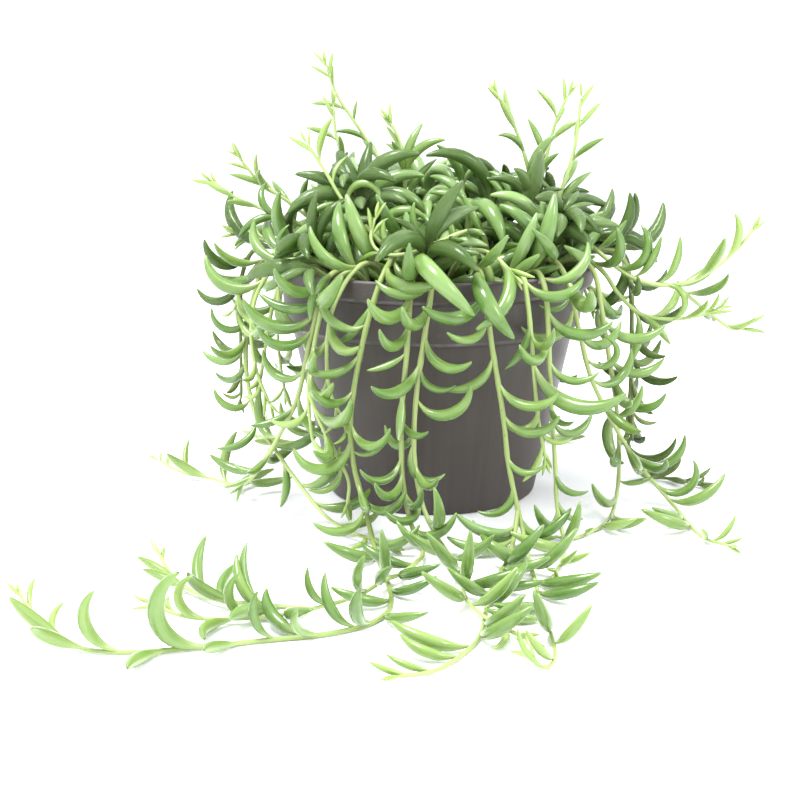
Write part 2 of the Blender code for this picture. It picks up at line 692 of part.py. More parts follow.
# Upright and outward shoots above the pot
SHOOTS = {
    "shoot_left_1": [
        (-34, 4), (-42, 1, 99), (-52, -3, 109), (-60, -5, 112), (-68, -5, 115), (-75, -5, 117),
        (-81, -5, 120), (-88, -5, 126),
    ],
    "shoot_left_2": [
        (-30, 15), (-42, 15, 102), (-54, 15, 112), (-62, 15, 118), (-70, 15, 122), (-76, 15, 128),
        (-80, 15, 135),
    ],
    "shoot_left_3": [
        (-44, 8), (-54, 6, 97), (-64, 5, 101), (-72, 4, 103), (-80, 3, 104),
    ],
    "shoot_back_left": [
        (-8, 26), (-14, 26, 104), (-17, 25, 120), (-21, 25, 131), (-28, 25, 142), (-34, 25, 149),
        (-39, 25, 156), (-43, 25, 164), (-44, 25, 171),
    ],
    "shoot_mid_left": [
        (-22, 20), (-29, 20, 104), (-33, 20, 118), (-36, 20, 130), (-40, 20, 141), (-42, 20, 148),
        (-41, 20, 155),
    ],
    "shoot_front_left": [
        (-12, -30), (-13, -37, 98), (-17, -38, 104), (-24, -35, 109), (-29, -32, 113), (-33, -30, 118),
        (-37, -27, 124), (-40, -25, 130), (-44, -23, 135), (-48, -22, 141),
    ],
    "shoot_centre": [
        (-10, -2), (-10, -3, 100), (-11, -5, 118), (-11, -5, 133), (-12, -5, 142), (-17, -5, 149),
    ],
    "shoot_right_1": [
        (33, 12), (37, 8, 101), (41, 2, 113), (40, 0, 122), (36, 0, 136), (32, 0, 148), (25, 0, 159),
    ],
    "shoot_right_2": [
        (34, 21), (39, 19, 104), (43, 15, 120), (46, 15, 135), (48, 15, 145), (50, 15, 153),
        (54, 15, 159),
    ],
    "shoot_right_3": [
        (44, 2), (45, -2, 103), (48, -5, 117), (52, -5, 126), (55, -5, 137), (57, -5, 147),
        (57, -5, 158),
    ],
    "shoot_curled": [
        (20, -24), (21, -32, 103), (19, -40, 112), (14, -44, 112), (8, -49, 110), (2, -53, 107),
        (-5, -56, 104), (-12, -58, 102), (-18, -56, 101), (-23, -53, 103), (-25, -51, 108),
        (-24, -50, 113), (-21, -50, 116),
    ],
    "shoot_front_right": [
        (5, -32), (9, -44, 101), (14, -50, 106), (20, -55, 106), (25, -60, 102), (29, -64, 97),
    ],
}

# Leafy tufts of the mound: where each stands in the soil, and its tip
MOUND = [
    ((-50, -14), (-60, -24, 100)), ((-48, 20), (-60, 26, 104)), ((-26, -20), (-33, -30, 112)),
    ((-20, -8), (-30, -10, 118)), ((-26, 32), (-34, 42, 112)), ((-4, 40), (-6, 52, 108)),
    ((-2, 12), (-4, 16, 124)), ((-1, -14), (-2, -24, 118)), ((12, -12), (14, -22, 120)),
    ((10, 2), (12, 2, 126)), ((16, 22), (18, 30, 122)), ((24, -4), (30, -10, 120)),
    ((26, 32), (32, 44, 110)), ((30, -16), (42, -28, 112)), ((48, 14), (60, 20, 108)),
    ((0, -30), (2, -46, 106)),
]


# Leaves that stand out, chosen by hand: how far along its stem each one grows, which way it points as seen
# from the front (degrees from the right, turning up), how far off its tip is, and by how much it bends
LEAVES = {
    "trailing_stem_long": [
        (50, -35, 33, 150), (70, 230, 22, 40), (90, 190, 21, 75), (120, 185, 21, 150),
        (125, 20, 13, 60), (265, 100, 18, 70), (285, 100, 27, 130), (310, 100, 22, 100),
    ],
    "trailing_stem_front_1": [
        (65, 200, 16, 30), (80, 265, 19, 50), (90, -5, 15, 85), (140, 130, 15, 90), (200, 115, 16, 80),
        (225, 100, 17, 110), (240, 100, 16, 140),
    ],
    "trailing_stem_front_2": [
        (25, -40, 27, 150), (65, 190, 26, 90), (65, -25, 15, 150), (80, 25, 22, 120),
        (95, -40, 16, 180), (115, 175, 17, 120), (175, 85, 24, 40),
    ],
    "trailing_stem_front_3": [
        (70, 210, 22, 80), (105, -10, 14, 150), (115, 220, 17, 120), (125, -30, 18, 100),
        (130, 175, 18, 130), (150, 150, 22, 160), (205, 170, 20, 50), (225, 55, 19, 60),
    ],
    "trailing_stem_right_1": [
        (50, 240, 20, 50), (65, -10, 36, 100), (80, 190, 12, 180), (95, 240, 16, 40),
    ],
    "trailing_stem_right_2": [
        (80, -35, 12, 130), (105, -30, 15, 110), (115, -40, 14, 90),
    ],
    "trailing_stem_right_3": [
        (50, 195, 13, 100), (75, 55, 11, 190), (105, 55, 19, 70), (140, 40, 18, 150),
    ],
    "trailing_stem_right_4": [
        (70, 105, 15, 60), (100, -80, 18, 170), (125, 15, 14, 30),
    ],
    "arching_stem_right_1": [
        (50, 50, 17, 20), (60, 65, 19, 140), (70, 65, 20, 30), (80, 75, 21, 40), (80, -75, 14, 150),
        (105, 85, 19, 70),
    ],
    "arching_stem_right_2": [
        (60, -45, 18, 30), (60, 260, 21, 30),
    ],
    "trailing_stem_left_2": [
        (60, 170, 15, 160), (95, 155, 16, 110), (125, 265, 18, 60),
    ],
    "trailing_stem_left_4": [
        (25, 200, 21, 80), (35, -50, 24, 40),
    ],
    "trailing_stem_left_5": [
        (30, 245, 22, 60), (85, 200, 18, 60),
    ],
    "trailing_stem_left_6": [
        (40, 175, 26, 70),
    ],
    "shoot_left_1": [
        (45, 205, 20, 60), (45, 115, 16, 120), (55, 165, 15, 40), (65, 150, 15, 10),
    ],
    "shoot_left_2": [
        (55, 120, 16, 110), (60, 160, 17, 20),
    ],
    "shoot_front_left": [
        (30, 25, 20, 130), (45, 180, 18, 90), (50, 0, 13, 170), (70, 70, 18, 40),
    ],
    "shoot_back_left": [
        (65, 165, 15, 50), (75, 80, 9, 20), (95, 150, 10, 20),
    ],
    "shoot_mid_left": [
        (65, 160, 14, 20),
    ],
    "shoot_centre": [
        (50, 40, 22, 70), (50, 70, 22, 40), (50, 110, 18, 40),
    ],
    "shoot_right_1": [
        (45, 70, 27, 60), (60, 145, 15, 80), (70, 120, 17, 20), (75, 105, 14, 20),
    ],
    "shoot_right_2": [
        (65, 35, 16, 30), (75, 130, 15, 30),
    ],
    "shoot_right_3": [
        (70, 50, 14, 10),
    ],
    "shoot_front_right": [
        (35, 260, 20, 30), (40, 280, 20, 40), (50, 245, 30, 90),
    ],
    "mound_tuft_3": [
        (30, 200, 24, 50),
    ],
    "mound_tuft_12": [
        (32, 270, 22, 30),
    ],
    "mound_tuft_14": [
        (30, 220, 26, 40),
    ],
}


def back_route(bearing, drop, run, run_bearing):
    """A route over the rim at a bearing, down by the given drop and out along the floor."""
    a = math.radians(bearing)
    radial, side = np.array([math.cos(a), math.sin(a)]), np.array([-math.sin(a), math.cos(a)])
    rim = POT_TOP_D / 2
    route = [tuple(radial * 44)]
    route.append((*(radial * 55), 97.0))
    route.append((*(radial * (rim - 1)), 99.0))
    for share in (0.12, 0.35, 0.62, 0.85, 1.0):
        sway = side * BACK_SWAY * math.sin(share * 5 + bearing)
        route.append((*(radial * (rim + 4 + 3 * share) + sway), 97.0 - drop * share))
    if run:
        b = math.radians(run_bearing)
        step = np.array([math.cos(b), math.sin(b)])
        foot = radial * (rim + 12)
        route[-1] = (*foot, 3.0)
        for share in (0.35, 0.7, 1.0):
            bend = side * BACK_BEND * math.sin(share * 3)
            route.append((*(foot + step * run * share + bend), 1.5))
    return route


def plan_stems():
    """All stems with their routes, settled clear of each other, of the pot, the soil and the floor."""
    stems = [Stem(name, route) for name, route in TRAILING.items()]
    by_name = {s.node: s for s in stems}
    stems += [Stem(carrier, route, parent=by_name[carrier]) for carrier, route in BRANCHES]
    stems += [Stem(name, back_route(*values)) for name, *values in BACK_STEMS]
    stems += [Stem(name, route, tip_r=0.55) for name, route in SHOOTS.items()]
    for number, (foot, tip) in enumerate(MOUND, 1):
        middle = ((foot[0] * 0.6 + tip[0] * 0.4), (foot[1] * 0.6 + tip[1] * 0.4), (SOIL_Z + tip[2]) / 2 + 2)
        stems.append(Stem(f"mound_tuft_{number}", [foot, middle, tip], tip_r=0.8))
    settle(stems, SETTLE_ROUNDS, 1.0)
    for stem in stems:
        stem.decimate()
    for stem in stems:
        if stem.parent is not None:
            stem.link = stem.parent.renumber[stem.link]
            stem.points[0] = stem.parent.points[stem.link]
    settle(stems, SETTLE_ROUNDS, 0.0)
    return stems


def plan_leaves(stems):
    """The leaves that stand out, then the others by one rule, with a seed for each stem."""
    layout = Layout(stems)
    chosen = {}
    for stem in stems:
        if stem.parent is None:
            chosen[id(stem)] = [leaf[0] for leaf in LEAVES.get(stem.node, ())]
            fat = PLUMP if stem.node.startswith("mound") else SLIM
            for along_mm, aim, reach, bend in LEAVES.get(stem.node, ()):
                layout.grow_aimed(stem, along_mm, aim, reach, bend, fat)
    for number, stem in enumerate(stems):
        first = FIRST_ON_BRANCH if stem.parent is not None else FIRST_LEAF
        rng = random.Random(SEED * 1000 + number)
        layout.grow_by_rule(stem, first, rng, chosen.get(id(stem), ()))
    return layout


def new_collection(name):
    collection = bpy.data.collections.new(name)
    bpy.context.scene.collection.children.link(collection)
    return collection


def new_material(name, colour, roughness):
    material = bpy.data.materials.new(name)
    material.use_nodes = True
    shader = material.node_tree.nodes["Principled BSDF"]
    shader.inputs["Base Color"].default_value = (*colour, 1.0)
    shader.inputs["Roughness"].default_value = roughness
    shader.inputs["Metallic"].default_value = 0.0
    return material


def add_object(name, mesh, collection, material=None):
    obj = bpy.data.objects.new(name, mesh)
    collection.objects.link(obj)
    if material is not None:
        mesh.materials.clear()
        mesh.materials.append(material)
    return obj


def turned_solid(name, profile, collection, material):
    """A solid turned about the Z axis from a profile in millimetres, given down its outer side.

    The flat faces round the axis are joined, so that each flat end is one face.
    """
    mesh = bpy.data.meshes.new(name)
    points = [(r * MM, 0.0, z * MM) for r, z in profile]
    mesh.from_pydata(points, [(i, i + 1) for i in range(len(points) - 1)], [])
    obj = add_object(name, mesh, collection, material)
    screw = obj.modifiers.new("turn", "SCREW")
    screw.axis = "Z"
    screw.angle = math.tau
    screw.steps = POT_SIDES
    screw.render_steps = POT_SIDES
    screw.use_merge_vertices = True
    screw.merge_threshold = 0.00001
    whole = bpy.data.meshes.new_from_object(obj.evaluated_get(bpy.context.evaluated_depsgraph_get()))
    obj.modifiers.clear()
    bm = bmesh.new()
    bm.from_mesh(whole)
    on_axis = [v for v in bm.verts if math.hypot(v.co.x, v.co.y) < GAP * MM]
    bmesh.ops.dissolve_verts(bm, verts=on_axis)
    bm.to_mesh(whole)
    bm.free()
    obj.data = whole
    whole.shade_smooth()
    whole.set_sharp_from_angle(angle=math.radians(SHARP))
    return obj


def make_pot(collection, material):
    inner = pot_inner_profile()[::-1]
    outer = pot_outer_profile()[::-1]
    profile = [(0.0, POT_WALL)] + inner + outer + [(0.0, 0.0)]
    return turned_solid("pot", profile, collection, material)


def make_soil(collection, cutters, material, stems):
    inner = pot_inner_profile()
    (r_low, z_low), (r_high, z_high) = inner[3], inner[2]
    top_r = r_low + (r_high - r_low) * (SOIL_Z - z_low) / (z_high - z_low)
    side = [(r - GAP, z + GAP) for r, z in inner[3:]]
    profile = [(0.0, SOIL_Z), (top_r - GAP, SOIL_Z)] + side + [(0.0, POT_WALL + GAP)]
    soil = turned_solid("soil", profile, collection, material)
    depth = ROOT_DEPTH + GAP
    hole_r = (STEM_R + GAP) / math.cos(math.pi / HOLE_SIDES)
    for number, stem in enumerate(s for s in stems if s.parent is None):
        x, y, _ = stem.points[0]
        mesh = bpy.data.meshes.new(f"hole_{number}")
        bm = bmesh.new()
        bmesh.ops.create_cone(bm, cap_ends=True, segments=HOLE_SIDES, radius1=hole_r * MM,
                              radius2=hole_r * MM, depth=(depth + 1) * MM)
        bm.to_mesh(mesh)
        bm.free()
        hole = add_object(mesh.name, mesh, cutters)
        hole.location = (x * MM, y * MM, (SOIL_Z + 1 - (depth + 1) / 2) * MM)
        hole.hide_render = True
        hole.display_type = "WIRE"
    cut = soil.modifiers.new("stem holes", "BOOLEAN")
    cut.operation = "DIFFERENCE"
    cut.operand_type = "COLLECTION"
    cut.collection = cutters
    return soil


def stem_mesh(stem):
    """A stem's tapering tube, with its caps welded."""
    curve = bpy.data.curves.new("stem", "CURVE")
    curve.dimensions = "3D"
    curve.bevel_depth = MM
    curve.bevel_resolution = 0
    curve.use_fill_caps = True
    spline = curve.splines.new("POLY")
    spline.points.add(len(stem.points) - 1)
    for point, place, radius in zip(spline.points, stem.points, stem.radii()):
        point.co = (*(place * MM), 1.0)
        point.radius = radius
    tube = bpy.data.objects.new("stem", curve)
    bpy.context.scene.collection.objects.link(tube)
    mesh = bpy.data.meshes.new_from_object(tube.evaluated_get(bpy.context.evaluated_depsgraph_get()))
    bpy.data.objects.remove(tube)
    bm = bmesh.new()
    bm.from_mesh(mesh)
    bmesh.ops.remove_doubles(bm, verts=bm.verts, dist=0.00001)
    bm.to_mesh(mesh)
    bm.free()
    return mesh


def leaf_mesh(leaf):
    """A leaf: a sphere of few faces, whose rings are moved onto the leaf's bent centre line."""
    line, radii = leaf.line, leaf.radii
    _, along, out, _, _, length = leaf.arc
    rings = len(line) - 1
    sides = 4 if length >= SMALL_LEAF else 3
    bm = bmesh.new()
    bmesh.ops.create_uvsphere(bm, u_segments=sides, v_segments=rings, radius=1.0)
    across = unit(np.cross(along, out))
    for v in bm.verts:
        k = round((1 - math.acos(max(-1.0, min(1.0, v.co.z))) / math.pi) * rings)
        ahead = unit(line[min(k + 1, rings)] - line[max(k - 1, 0)])
        inward = unit(np.cross(across, ahead))
        turn = math.atan2(v.co.y, v.co.x)
        spot = line[k]
        if 0 < k < rings:
            spot = spot + radii[k] * (math.cos(turn) * inward + math.sin(turn) * across)
        v.co = spot * MM
    mesh = bpy.data.meshes.new("leaf")
    bm.to_mesh(mesh)
    bm.free()
    return mesh


def keep_largest_skin(mesh):
    """Fills hollows that the union has closed off and drops scraps: only the largest skin stays."""
    bm = bmesh.new()
    bm.from_mesh(mesh)
    unseen = set(bm.verts)
    skins = []
    while unseen:
        skin, border = set(), [unseen.pop()]
        while border:
            v = border.pop()
            skin.add(v)
            for edge in v.link_edges:
                other = edge.other_vert(v)
                if other in unseen:
                    unseen.remove(other)
                    border.append(other)
        skins.append(skin)
    skins.sort(key=len)
    extra = [v for skin in skins[:-1] for v in skin]
    bmesh.ops.delete(bm, geom=extra, context="VERTS")
    bm.to_mesh(mesh)
    bm.free()


def grow_node(name, layout, collection, material):
    """One solid: a stem with its branches and leaves, joined by one Boolean union."""
    stems = [s for s in layout.stems if s.node == name]
    grown = new_collection(name + "_grown_on")
    for stem in stems[1:]:
        add_object("branch", stem_mesh(stem), grown)
    for leaf in layout.leaves:
        if leaf.stem.node == name:
            add_object("leaf", leaf_mesh(leaf), grown)
    obj = add_object(name, stem_mesh(stems[0]), collection)
    union = obj.modifiers.new("grown on", "BOOLEAN")
    union.operation = "UNION"
    union.solver = "MANIFOLD"
    union.operand_type = "COLLECTION"
    union.collection = grown
    joined = bpy.data.meshes.new_from_object(obj.evaluated_get(bpy.context.evaluated_depsgraph_get()))
    obj.modifiers.clear()
    keep_largest_skin(joined)
    obj.data = joined
    joined.name = name
    joined.materials.clear()
    joined.materials.append(material)
    for extra in list(grown.objects):
        bpy.data.objects.remove(extra)
    bpy.data.collections.remove(grown)
    joined.shade_smooth()
    joined.set_sharp_from_angle(angle=math.radians(SHARP))
    return obj


def main():
    for obj in list(bpy.data.objects):
        bpy.data.objects.remove(obj)
    plant = new_collection("potted_string_of_bananas")
    cutters = new_collection("cutters")
    stems = plan_stems()
    layout = plan_leaves(stems)
    make_pot(plant, new_material("pot_plastic", (0.092, 0.080, 0.076), 0.55))
    make_soil(plant, cutters, new_material("potting_soil", (0.022, 0.015, 0.010), 0.95), stems)
    for name in dict.fromkeys(s.node for s in stems):
        grow_node(name, layout, plant, new_material(name + "_green", (0.17, 0.33, 0.07), 0.35))


if __name__ == "__main__":
    main()
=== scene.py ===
"""The looks of a potted string of bananas: a trailing succulent in a round plastic nursery pot.

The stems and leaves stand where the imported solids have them: the same routes, leaves and rules are repeated
here, and each stem's solid is replaced by one finer piece. Smaller leaves, more leaves on the mound, a few
further stems, the soil's crumbs and the pot's finish are added here.

Plant sizes are in millimetres, and MM turns them into Blender's metres. +Z is up and -Y is the front.
"""
import json
import math
import random

import bmesh
import bpy
import numpy as np
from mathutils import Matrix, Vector, kdtree, noise

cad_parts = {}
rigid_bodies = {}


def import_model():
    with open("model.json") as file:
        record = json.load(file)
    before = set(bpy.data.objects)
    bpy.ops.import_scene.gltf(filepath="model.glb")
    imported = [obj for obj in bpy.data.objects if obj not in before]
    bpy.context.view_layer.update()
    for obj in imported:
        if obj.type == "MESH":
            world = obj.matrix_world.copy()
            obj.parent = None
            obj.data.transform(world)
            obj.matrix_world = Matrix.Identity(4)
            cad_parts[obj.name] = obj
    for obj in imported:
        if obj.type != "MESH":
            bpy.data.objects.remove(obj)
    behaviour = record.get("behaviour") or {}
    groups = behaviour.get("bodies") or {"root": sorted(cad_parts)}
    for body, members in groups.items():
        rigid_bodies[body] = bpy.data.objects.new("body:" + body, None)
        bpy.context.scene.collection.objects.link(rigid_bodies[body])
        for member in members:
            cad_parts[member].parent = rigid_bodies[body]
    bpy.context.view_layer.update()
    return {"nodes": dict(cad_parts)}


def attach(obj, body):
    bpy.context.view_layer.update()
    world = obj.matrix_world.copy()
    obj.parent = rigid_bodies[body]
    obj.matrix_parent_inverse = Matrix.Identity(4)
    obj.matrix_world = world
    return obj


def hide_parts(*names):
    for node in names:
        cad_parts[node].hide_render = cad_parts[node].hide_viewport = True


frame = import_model()

MM = 0.001

# Driving sizes of the pot and its soil
POT_TOP_D = 130.0
POT_BASE_D = 85.0
POT_HEIGHT = 94.0
POT_WALL = 1.3
BASE_EDGE = 0.9
BAND_Z = 69.0
BAND_R = 57.0
BAND_STEP = 2.3
LIP_Z = 85.0
LIP_STEP = 3.2
LIP_R = 64.0
STEP_RISE = 1.4
RIM_ROUND = 0.7
RIM_THICKER = 0.2
SOIL_Z = 84.0

# Gaps between neighbouring solids
GAP = 0.3
STEM_GAP = 0.5
LEAF_GAP = 0.35
FLOOR_GAP = 0.15

# Stems
STEM_R = 1.2
BRANCH_R = 0.95
TIP_R = 0.62
SHOOT_TIP_R = 0.55
TUFT_TIP_R = 0.8
TAPER = 1.3
ROOT_DEPTH = 6.0
ROOT_RISE = 2.5
PATH_STEP = 4.5
CURVE_STEPS = 12
CHORD_ERROR = 0.9
LONGEST_CHORD = 26.0

# How stems settle clear of each other
SETTLE_ROUNDS = 90
LOOK_AGAIN = 6  # rounds from one look for neighbours to the next
LOOK_FURTHER = 1.0
SMOOTHING = 0.25
DRAW_BACK = 0.06
PUSH_SHARE = 1.25
TOUCHING = 0.05  # nearer than this, two stems are pushed straight up and down
LEAST_WEIGHT = 0.6
# A stem is read at least this far from its ends
OFF_ENDS = 0.01

# Faces that meet at more than this angle, in degrees, keep a sharp edge
SHARP = 50.0

# Leaves: half widths as shares of their length, the least one, how flat they are, and their outline
SLIM = 0.1
PLUMP = 0.122
LEAF_MIN_R = 0.8
FLATNESS = (0.84, 0.98)
FOOT_WIDTH = (0.42, 0.58)
FOOT_END = 0.3
FOOT_SWELL = 1.2
WIDEST_EARLY = 0.92
BLUNTNESS = 0.62
LEAST_BEND = 4.0
# Shares of a leaf's length at which its rings stand, and the bend in degrees that each set is good for
LEAF_RINGS = {
    3: (38.0, (0, 0.24, 0.68, 1)),
    4: (118.0, (0, 0.16, 0.46, 0.79, 1)),
    5: (360.0, (0, 0.14, 0.36, 0.62, 0.85, 1)),
}
SMALLEST_LEAF = 8.0
# Each kind of stem: its leaves' length, their half width as a share of it, and their spacing
HABITS = {
    "mound": (33.0, PLUMP, 9.0),
    "shoot": (20.0, SLIM, 16.0),
    "stem": (25.0, SLIM, 22.5),
}
GOLDEN_ANGLE = 137.5
UPRIGHT = 0.75
# By how much leaves differ: in degrees off the spiral, off the way out and off the stem, and as shares
SPIRAL_SPREAD = 18
SIDE_RANGE = (20, 95)
START_RANGE = (24, 44)
SIZE_RANGE = (0.86, 1.12)
STEP_RANGE = (0.85, 1.2)
# How far a leaf hooks back on a level stem, how much less on a rising one, and by how much that differs
HOOK = 66
HOOK_BY_RISE = 38
HOOK_SPREAD = 18
MOUND_HOOKS = (55, 115)
# Where the first leaf grows, from the foot of a stem in the soil or of one on another stem
FIRST_LEAF = ROOT_DEPTH + ROOT_RISE + 3.0
FIRST_ON_BRANCH = 8.0
# How near the tip no leaf grows, and how near a chosen one no other, as a share of the spacing
TIP_CLEAR = 1.0
KEEP_OFF = 0.4
# Growing tips: how far back their leaves are smaller, the size of the last one, and what the youngest have
# of the full start angle, spacing, hook and width, each with what comes as they grow
YOUNG_REACH = 48.0
YOUNG_SHARE = 0.38
YOUNG_START = (0.55, 0.45)
YOUNG_STEP = (0.45, 0.55)
YOUNG_HOOK = (0.5, 0.5)
YOUNG_FAT = (0.8, 0.2)
SEED = 11
MOST_RODS = 9000
BATCH = 24
FAR = 99.0
# How much a leaf's place in the order of changes counts, and how much it counts to miss its own stem
ORDER_COST = 0.02
OWN_GAP = 0.1
OWN_COST = 2.0


def pot_outer_profile():
    """Radius and height of the pot's outer side, from the foot up to the rim."""
    top_r = POT_TOP_D / 2
    return [
        (POT_BASE_D / 2 - BASE_EDGE, 0.0),
        (POT_BASE_D / 2, BASE_EDGE),
        (BAND_R, BAND_Z),
        (BAND_R + BAND_STEP, BAND_Z + STEP_RISE),
        (LIP_R - LIP_STEP, LIP_Z),
        (LIP_R, LIP_Z + STEP_RISE),
        (top_r, POT_HEIGHT - RIM_ROUND),
        (top_r - RIM_ROUND, POT_HEIGHT),
    ]


def pot_inner_profile():
    """Radius and height of the pot's inner side, from the rim down to the floor's edge."""
    top_r = POT_TOP_D / 2
    return [
        (top_r - POT_WALL - RIM_THICKER, POT_HEIGHT),
        (LIP_R - POT_WALL, LIP_Z + STEP_RISE + POT_WALL),
        (LIP_R - LIP_STEP - POT_WALL, LIP_Z + POT_WALL),
        (BAND_R + BAND_STEP - POT_WALL, BAND_Z + STEP_RISE + POT_WALL),
        (BAND_R - POT_WALL, BAND_Z + POT_WALL),
        (POT_BASE_D / 2 - POT_WALL, POT_WALL),
    ]


# Cross-section of pot and soil together, which stems and leaves keep clear of
SOIL_EDGE_R = LIP_R - LIP_STEP - POT_WALL
BODY = np.array(
    [(0.0, 0.0)] + pot_outer_profile() + pot_inner_profile()[:3] + [(SOIL_EDGE_R, SOIL_Z), (0.0, SOIL_Z)]
)


def unit(v):
    return v / np.linalg.norm(v)


def lengths_along(points):
    """Distance of each point from the first one, along the line."""
    return np.concatenate([[0], np.cumsum(np.linalg.norm(np.diff(points, axis=0), axis=1))])


def points_at(wanted, known, points):
    """Points at the wanted distances along a line whose own points stand at the known ones."""
    return np.column_stack([np.interp(wanted, known, points[:, i]) for i in range(3)])


def directions(line):
    """The unit direction of a line at each of its points."""
    ahead = np.gradient(line, axis=0)
    return ahead / np.linalg.norm(ahead, axis=1)[:, None]


def partly(shares, grown):
    """What something has of its full size: the first share from the start, and the rest as it grows."""
    least, rest = shares
    return least + rest * grown


def body_gap(points):
    """Distance of each point from pot and soil, negative inside them, and the direction that leads out."""
    rho = np.hypot(points[:, 0], points[:, 1])
    flat = np.stack([rho, points[:, 2]], 1)[:, None]
    start, edge = BODY[:-1], BODY[1:] - BODY[:-1]
    t = np.clip(((flat - start) * edge).sum(2) / (edge * edge).sum(1), 0, 1)
    away = flat - (start + t[..., None] * edge)
    dist = np.linalg.norm(away, axis=2)
    k = dist.argmin(1)
    rows = np.arange(len(points))
    dist, away = dist[rows, k], away[rows, k]
    low = np.minimum(start[:, 1], start[:, 1] + edge[:, 1])
    high = np.maximum(start[:, 1], start[:, 1] + edge[:, 1])
    level = flat[:, :, 1]
    slope = np.where(edge[:, 1] == 0, 1.0, edge[:, 1])
    crossing_r = start[:, 0] + (level - start[:, 1]) / slope * edge[:, 0]
    crossings = ((level >= low) & (level < high) & (crossing_r > flat[:, :, 0])).sum(1)
    inside = crossings % 2 == 1
    out = away / np.maximum(dist, 1e-9)[:, None]
    out[inside] *= -1
    radial = points[:, :2] / np.maximum(rho, 1e-9)[:, None]
    direction = np.column_stack([radial * out[:, :1], out[:, 1]])
    return np.where(inside, -dist, dist), direction


def nearest_on_segments(p1, q1, p2, q2):
    """Where two segments come nearest, as a share of each one's length. Works on whole arrays."""
    d1, d2, r = q1 - p1, q2 - p2, p1 - p2
    a = (d1 * d1).sum(-1) + 1e-12
    e = (d2 * d2).sum(-1) + 1e-12
    b = (d1 * d2).sum(-1)
    c = (d1 * r).sum(-1)
    f = (d2 * r).sum(-1)
    denom = a * e - b * b
    s = np.where(denom > 1e-9, np.clip((b * f - c * e) / np.maximum(denom, 1e-9), 0, 1), 0.0)
    t = np.clip((b * s + f) / e, 0, 1)
    s = np.clip((b * t - c) / a, 0, 1)
    return s, t


def smooth_path(points, step):
    """Even steps along a smooth curve through the points. The first point only sets its direction."""
    pts = [np.array(p, float) for p in points]
    pts.append(2 * pts[-1] - pts[-2])
    dense = [pts[1]]
    for p0, p1, p2, p3 in zip(pts, pts[1:], pts[2:], pts[3:]):
        span = np.linalg.norm(p2 - p1)
        m1 = span * (p2 - p0) / (np.linalg.norm(p2 - p1) + np.linalg.norm(p1 - p0))
        m2 = span * (p3 - p1) / (np.linalg.norm(p3 - p2) + np.linalg.norm(p2 - p1))
        for k in range(1, CURVE_STEPS + 1):
            u = k / CURVE_STEPS
            dense.append(
                (2 * u**3 - 3 * u**2 + 1) * p1
                + (u**3 - 2 * u**2 + u) * m1
                + (3 * u**2 - 2 * u**3) * p2
                + (u**3 - u**2) * m2
            )
    dense = np.array(dense)
    lengths = lengths_along(dense)
    count = max(2, round(lengths[-1] / step))
    return points_at(np.linspace(0, lengths[-1], count + 1), lengths, dense)


class Stem:
    """One stem: its points, its radii, the node that it belongs to and its kind, the node's first word."""

    def __init__(self, node, route, parent=None, tip_r=TIP_R):
        self.node = node
        self.kind = node.split("_")[0]
        self.parent = parent
        if parent is None:
            x, y = route[0]
            bottom, top = (x, y, SOIL_Z - ROOT_DEPTH), (x, y, SOIL_Z + ROOT_RISE)
            path = smooth_path([bottom, top] + list(route[1:]), PATH_STEP)
            self.points = np.vstack([[bottom], path])
            self.fixed = 2
            self.base_r = STEM_R
        else:
            first = np.array(route[0], float)
            self.link = int(np.linalg.norm(parent.points - first, axis=1).argmin())
            start = parent.points[self.link]
            back = parent.points[self.link - 1]
            self.points = smooth_path([back, start] + list(route[1:]), PATH_STEP)
            self.fixed = 1
            self.base_r = BRANCH_R
        self.tip_r = tip_r
        self.keep = {0, self.fixed - 1}
        if parent is not None:
            parent.keep.add(self.link)

    def lengths(self):
        return lengths_along(self.points)

    def radii(self, along=None):
        """Its radius at each of its points, or at other distances along it, the last at its tip."""
        along = self.lengths() if along is None else along
        return self.base_r + (self.tip_r - self.base_r) * (along / along[-1]) ** TAPER

    def decimate(self):
        """Keeps only the points that the stem's shape needs."""
        keep = set(self.keep) | {len(self.points) - 1}
        along = self.lengths()
        spans = list(zip(sorted(keep), sorted(keep)[1:]))
        while spans:
            a, b = spans.pop()
            if b - a < 2:
                continue
            chord = self.points[b] - self.points[a]
            rel = self.points[a + 1:b] - self.points[a]
            t = np.clip(rel @ chord / (chord @ chord), 0, 1)
            off = np.linalg.norm(rel - t[:, None] * chord, axis=1)
            if off.max() > CHORD_ERROR:
                mid = a + 1 + int(off.argmax())
            elif along[b] - along[a] > LONGEST_CHORD:
                mid = (a + b) // 2
            else:
                continue
            keep.add(mid)
            spans += [(a, mid), (mid, b)]
        order = sorted(keep)
        self.renumber = {old: new for new, old in enumerate(order)}
        self.points = self.points[order]

    def at(self, along):
        """The point and the growing direction at a distance along the stem."""
        lengths = self.lengths()
        along = min(max(along, OFF_ENDS), lengths[-1] - OFF_ENDS)
        k = int(np.searchsorted(lengths, along)) - 1
        a, b = self.points[k], self.points[k + 1]
        t = (along - lengths[k]) / (lengths[k + 1] - lengths[k])
        before = unit(b - a)
        if t > 0.5 and k + 2 < len(self.points):
            after = unit(self.points[k + 2] - b)
            direction = unit(before * (1.5 - t) + after * (t - 0.5))
        elif t < 0.5 and k > 0:
            earlier = unit(a - self.points[k - 1])
            direction = unit(before * (0.5 + t) + earlier * (0.5 - t))
        else:
            direction = before
        return a + (b - a) * t, direction


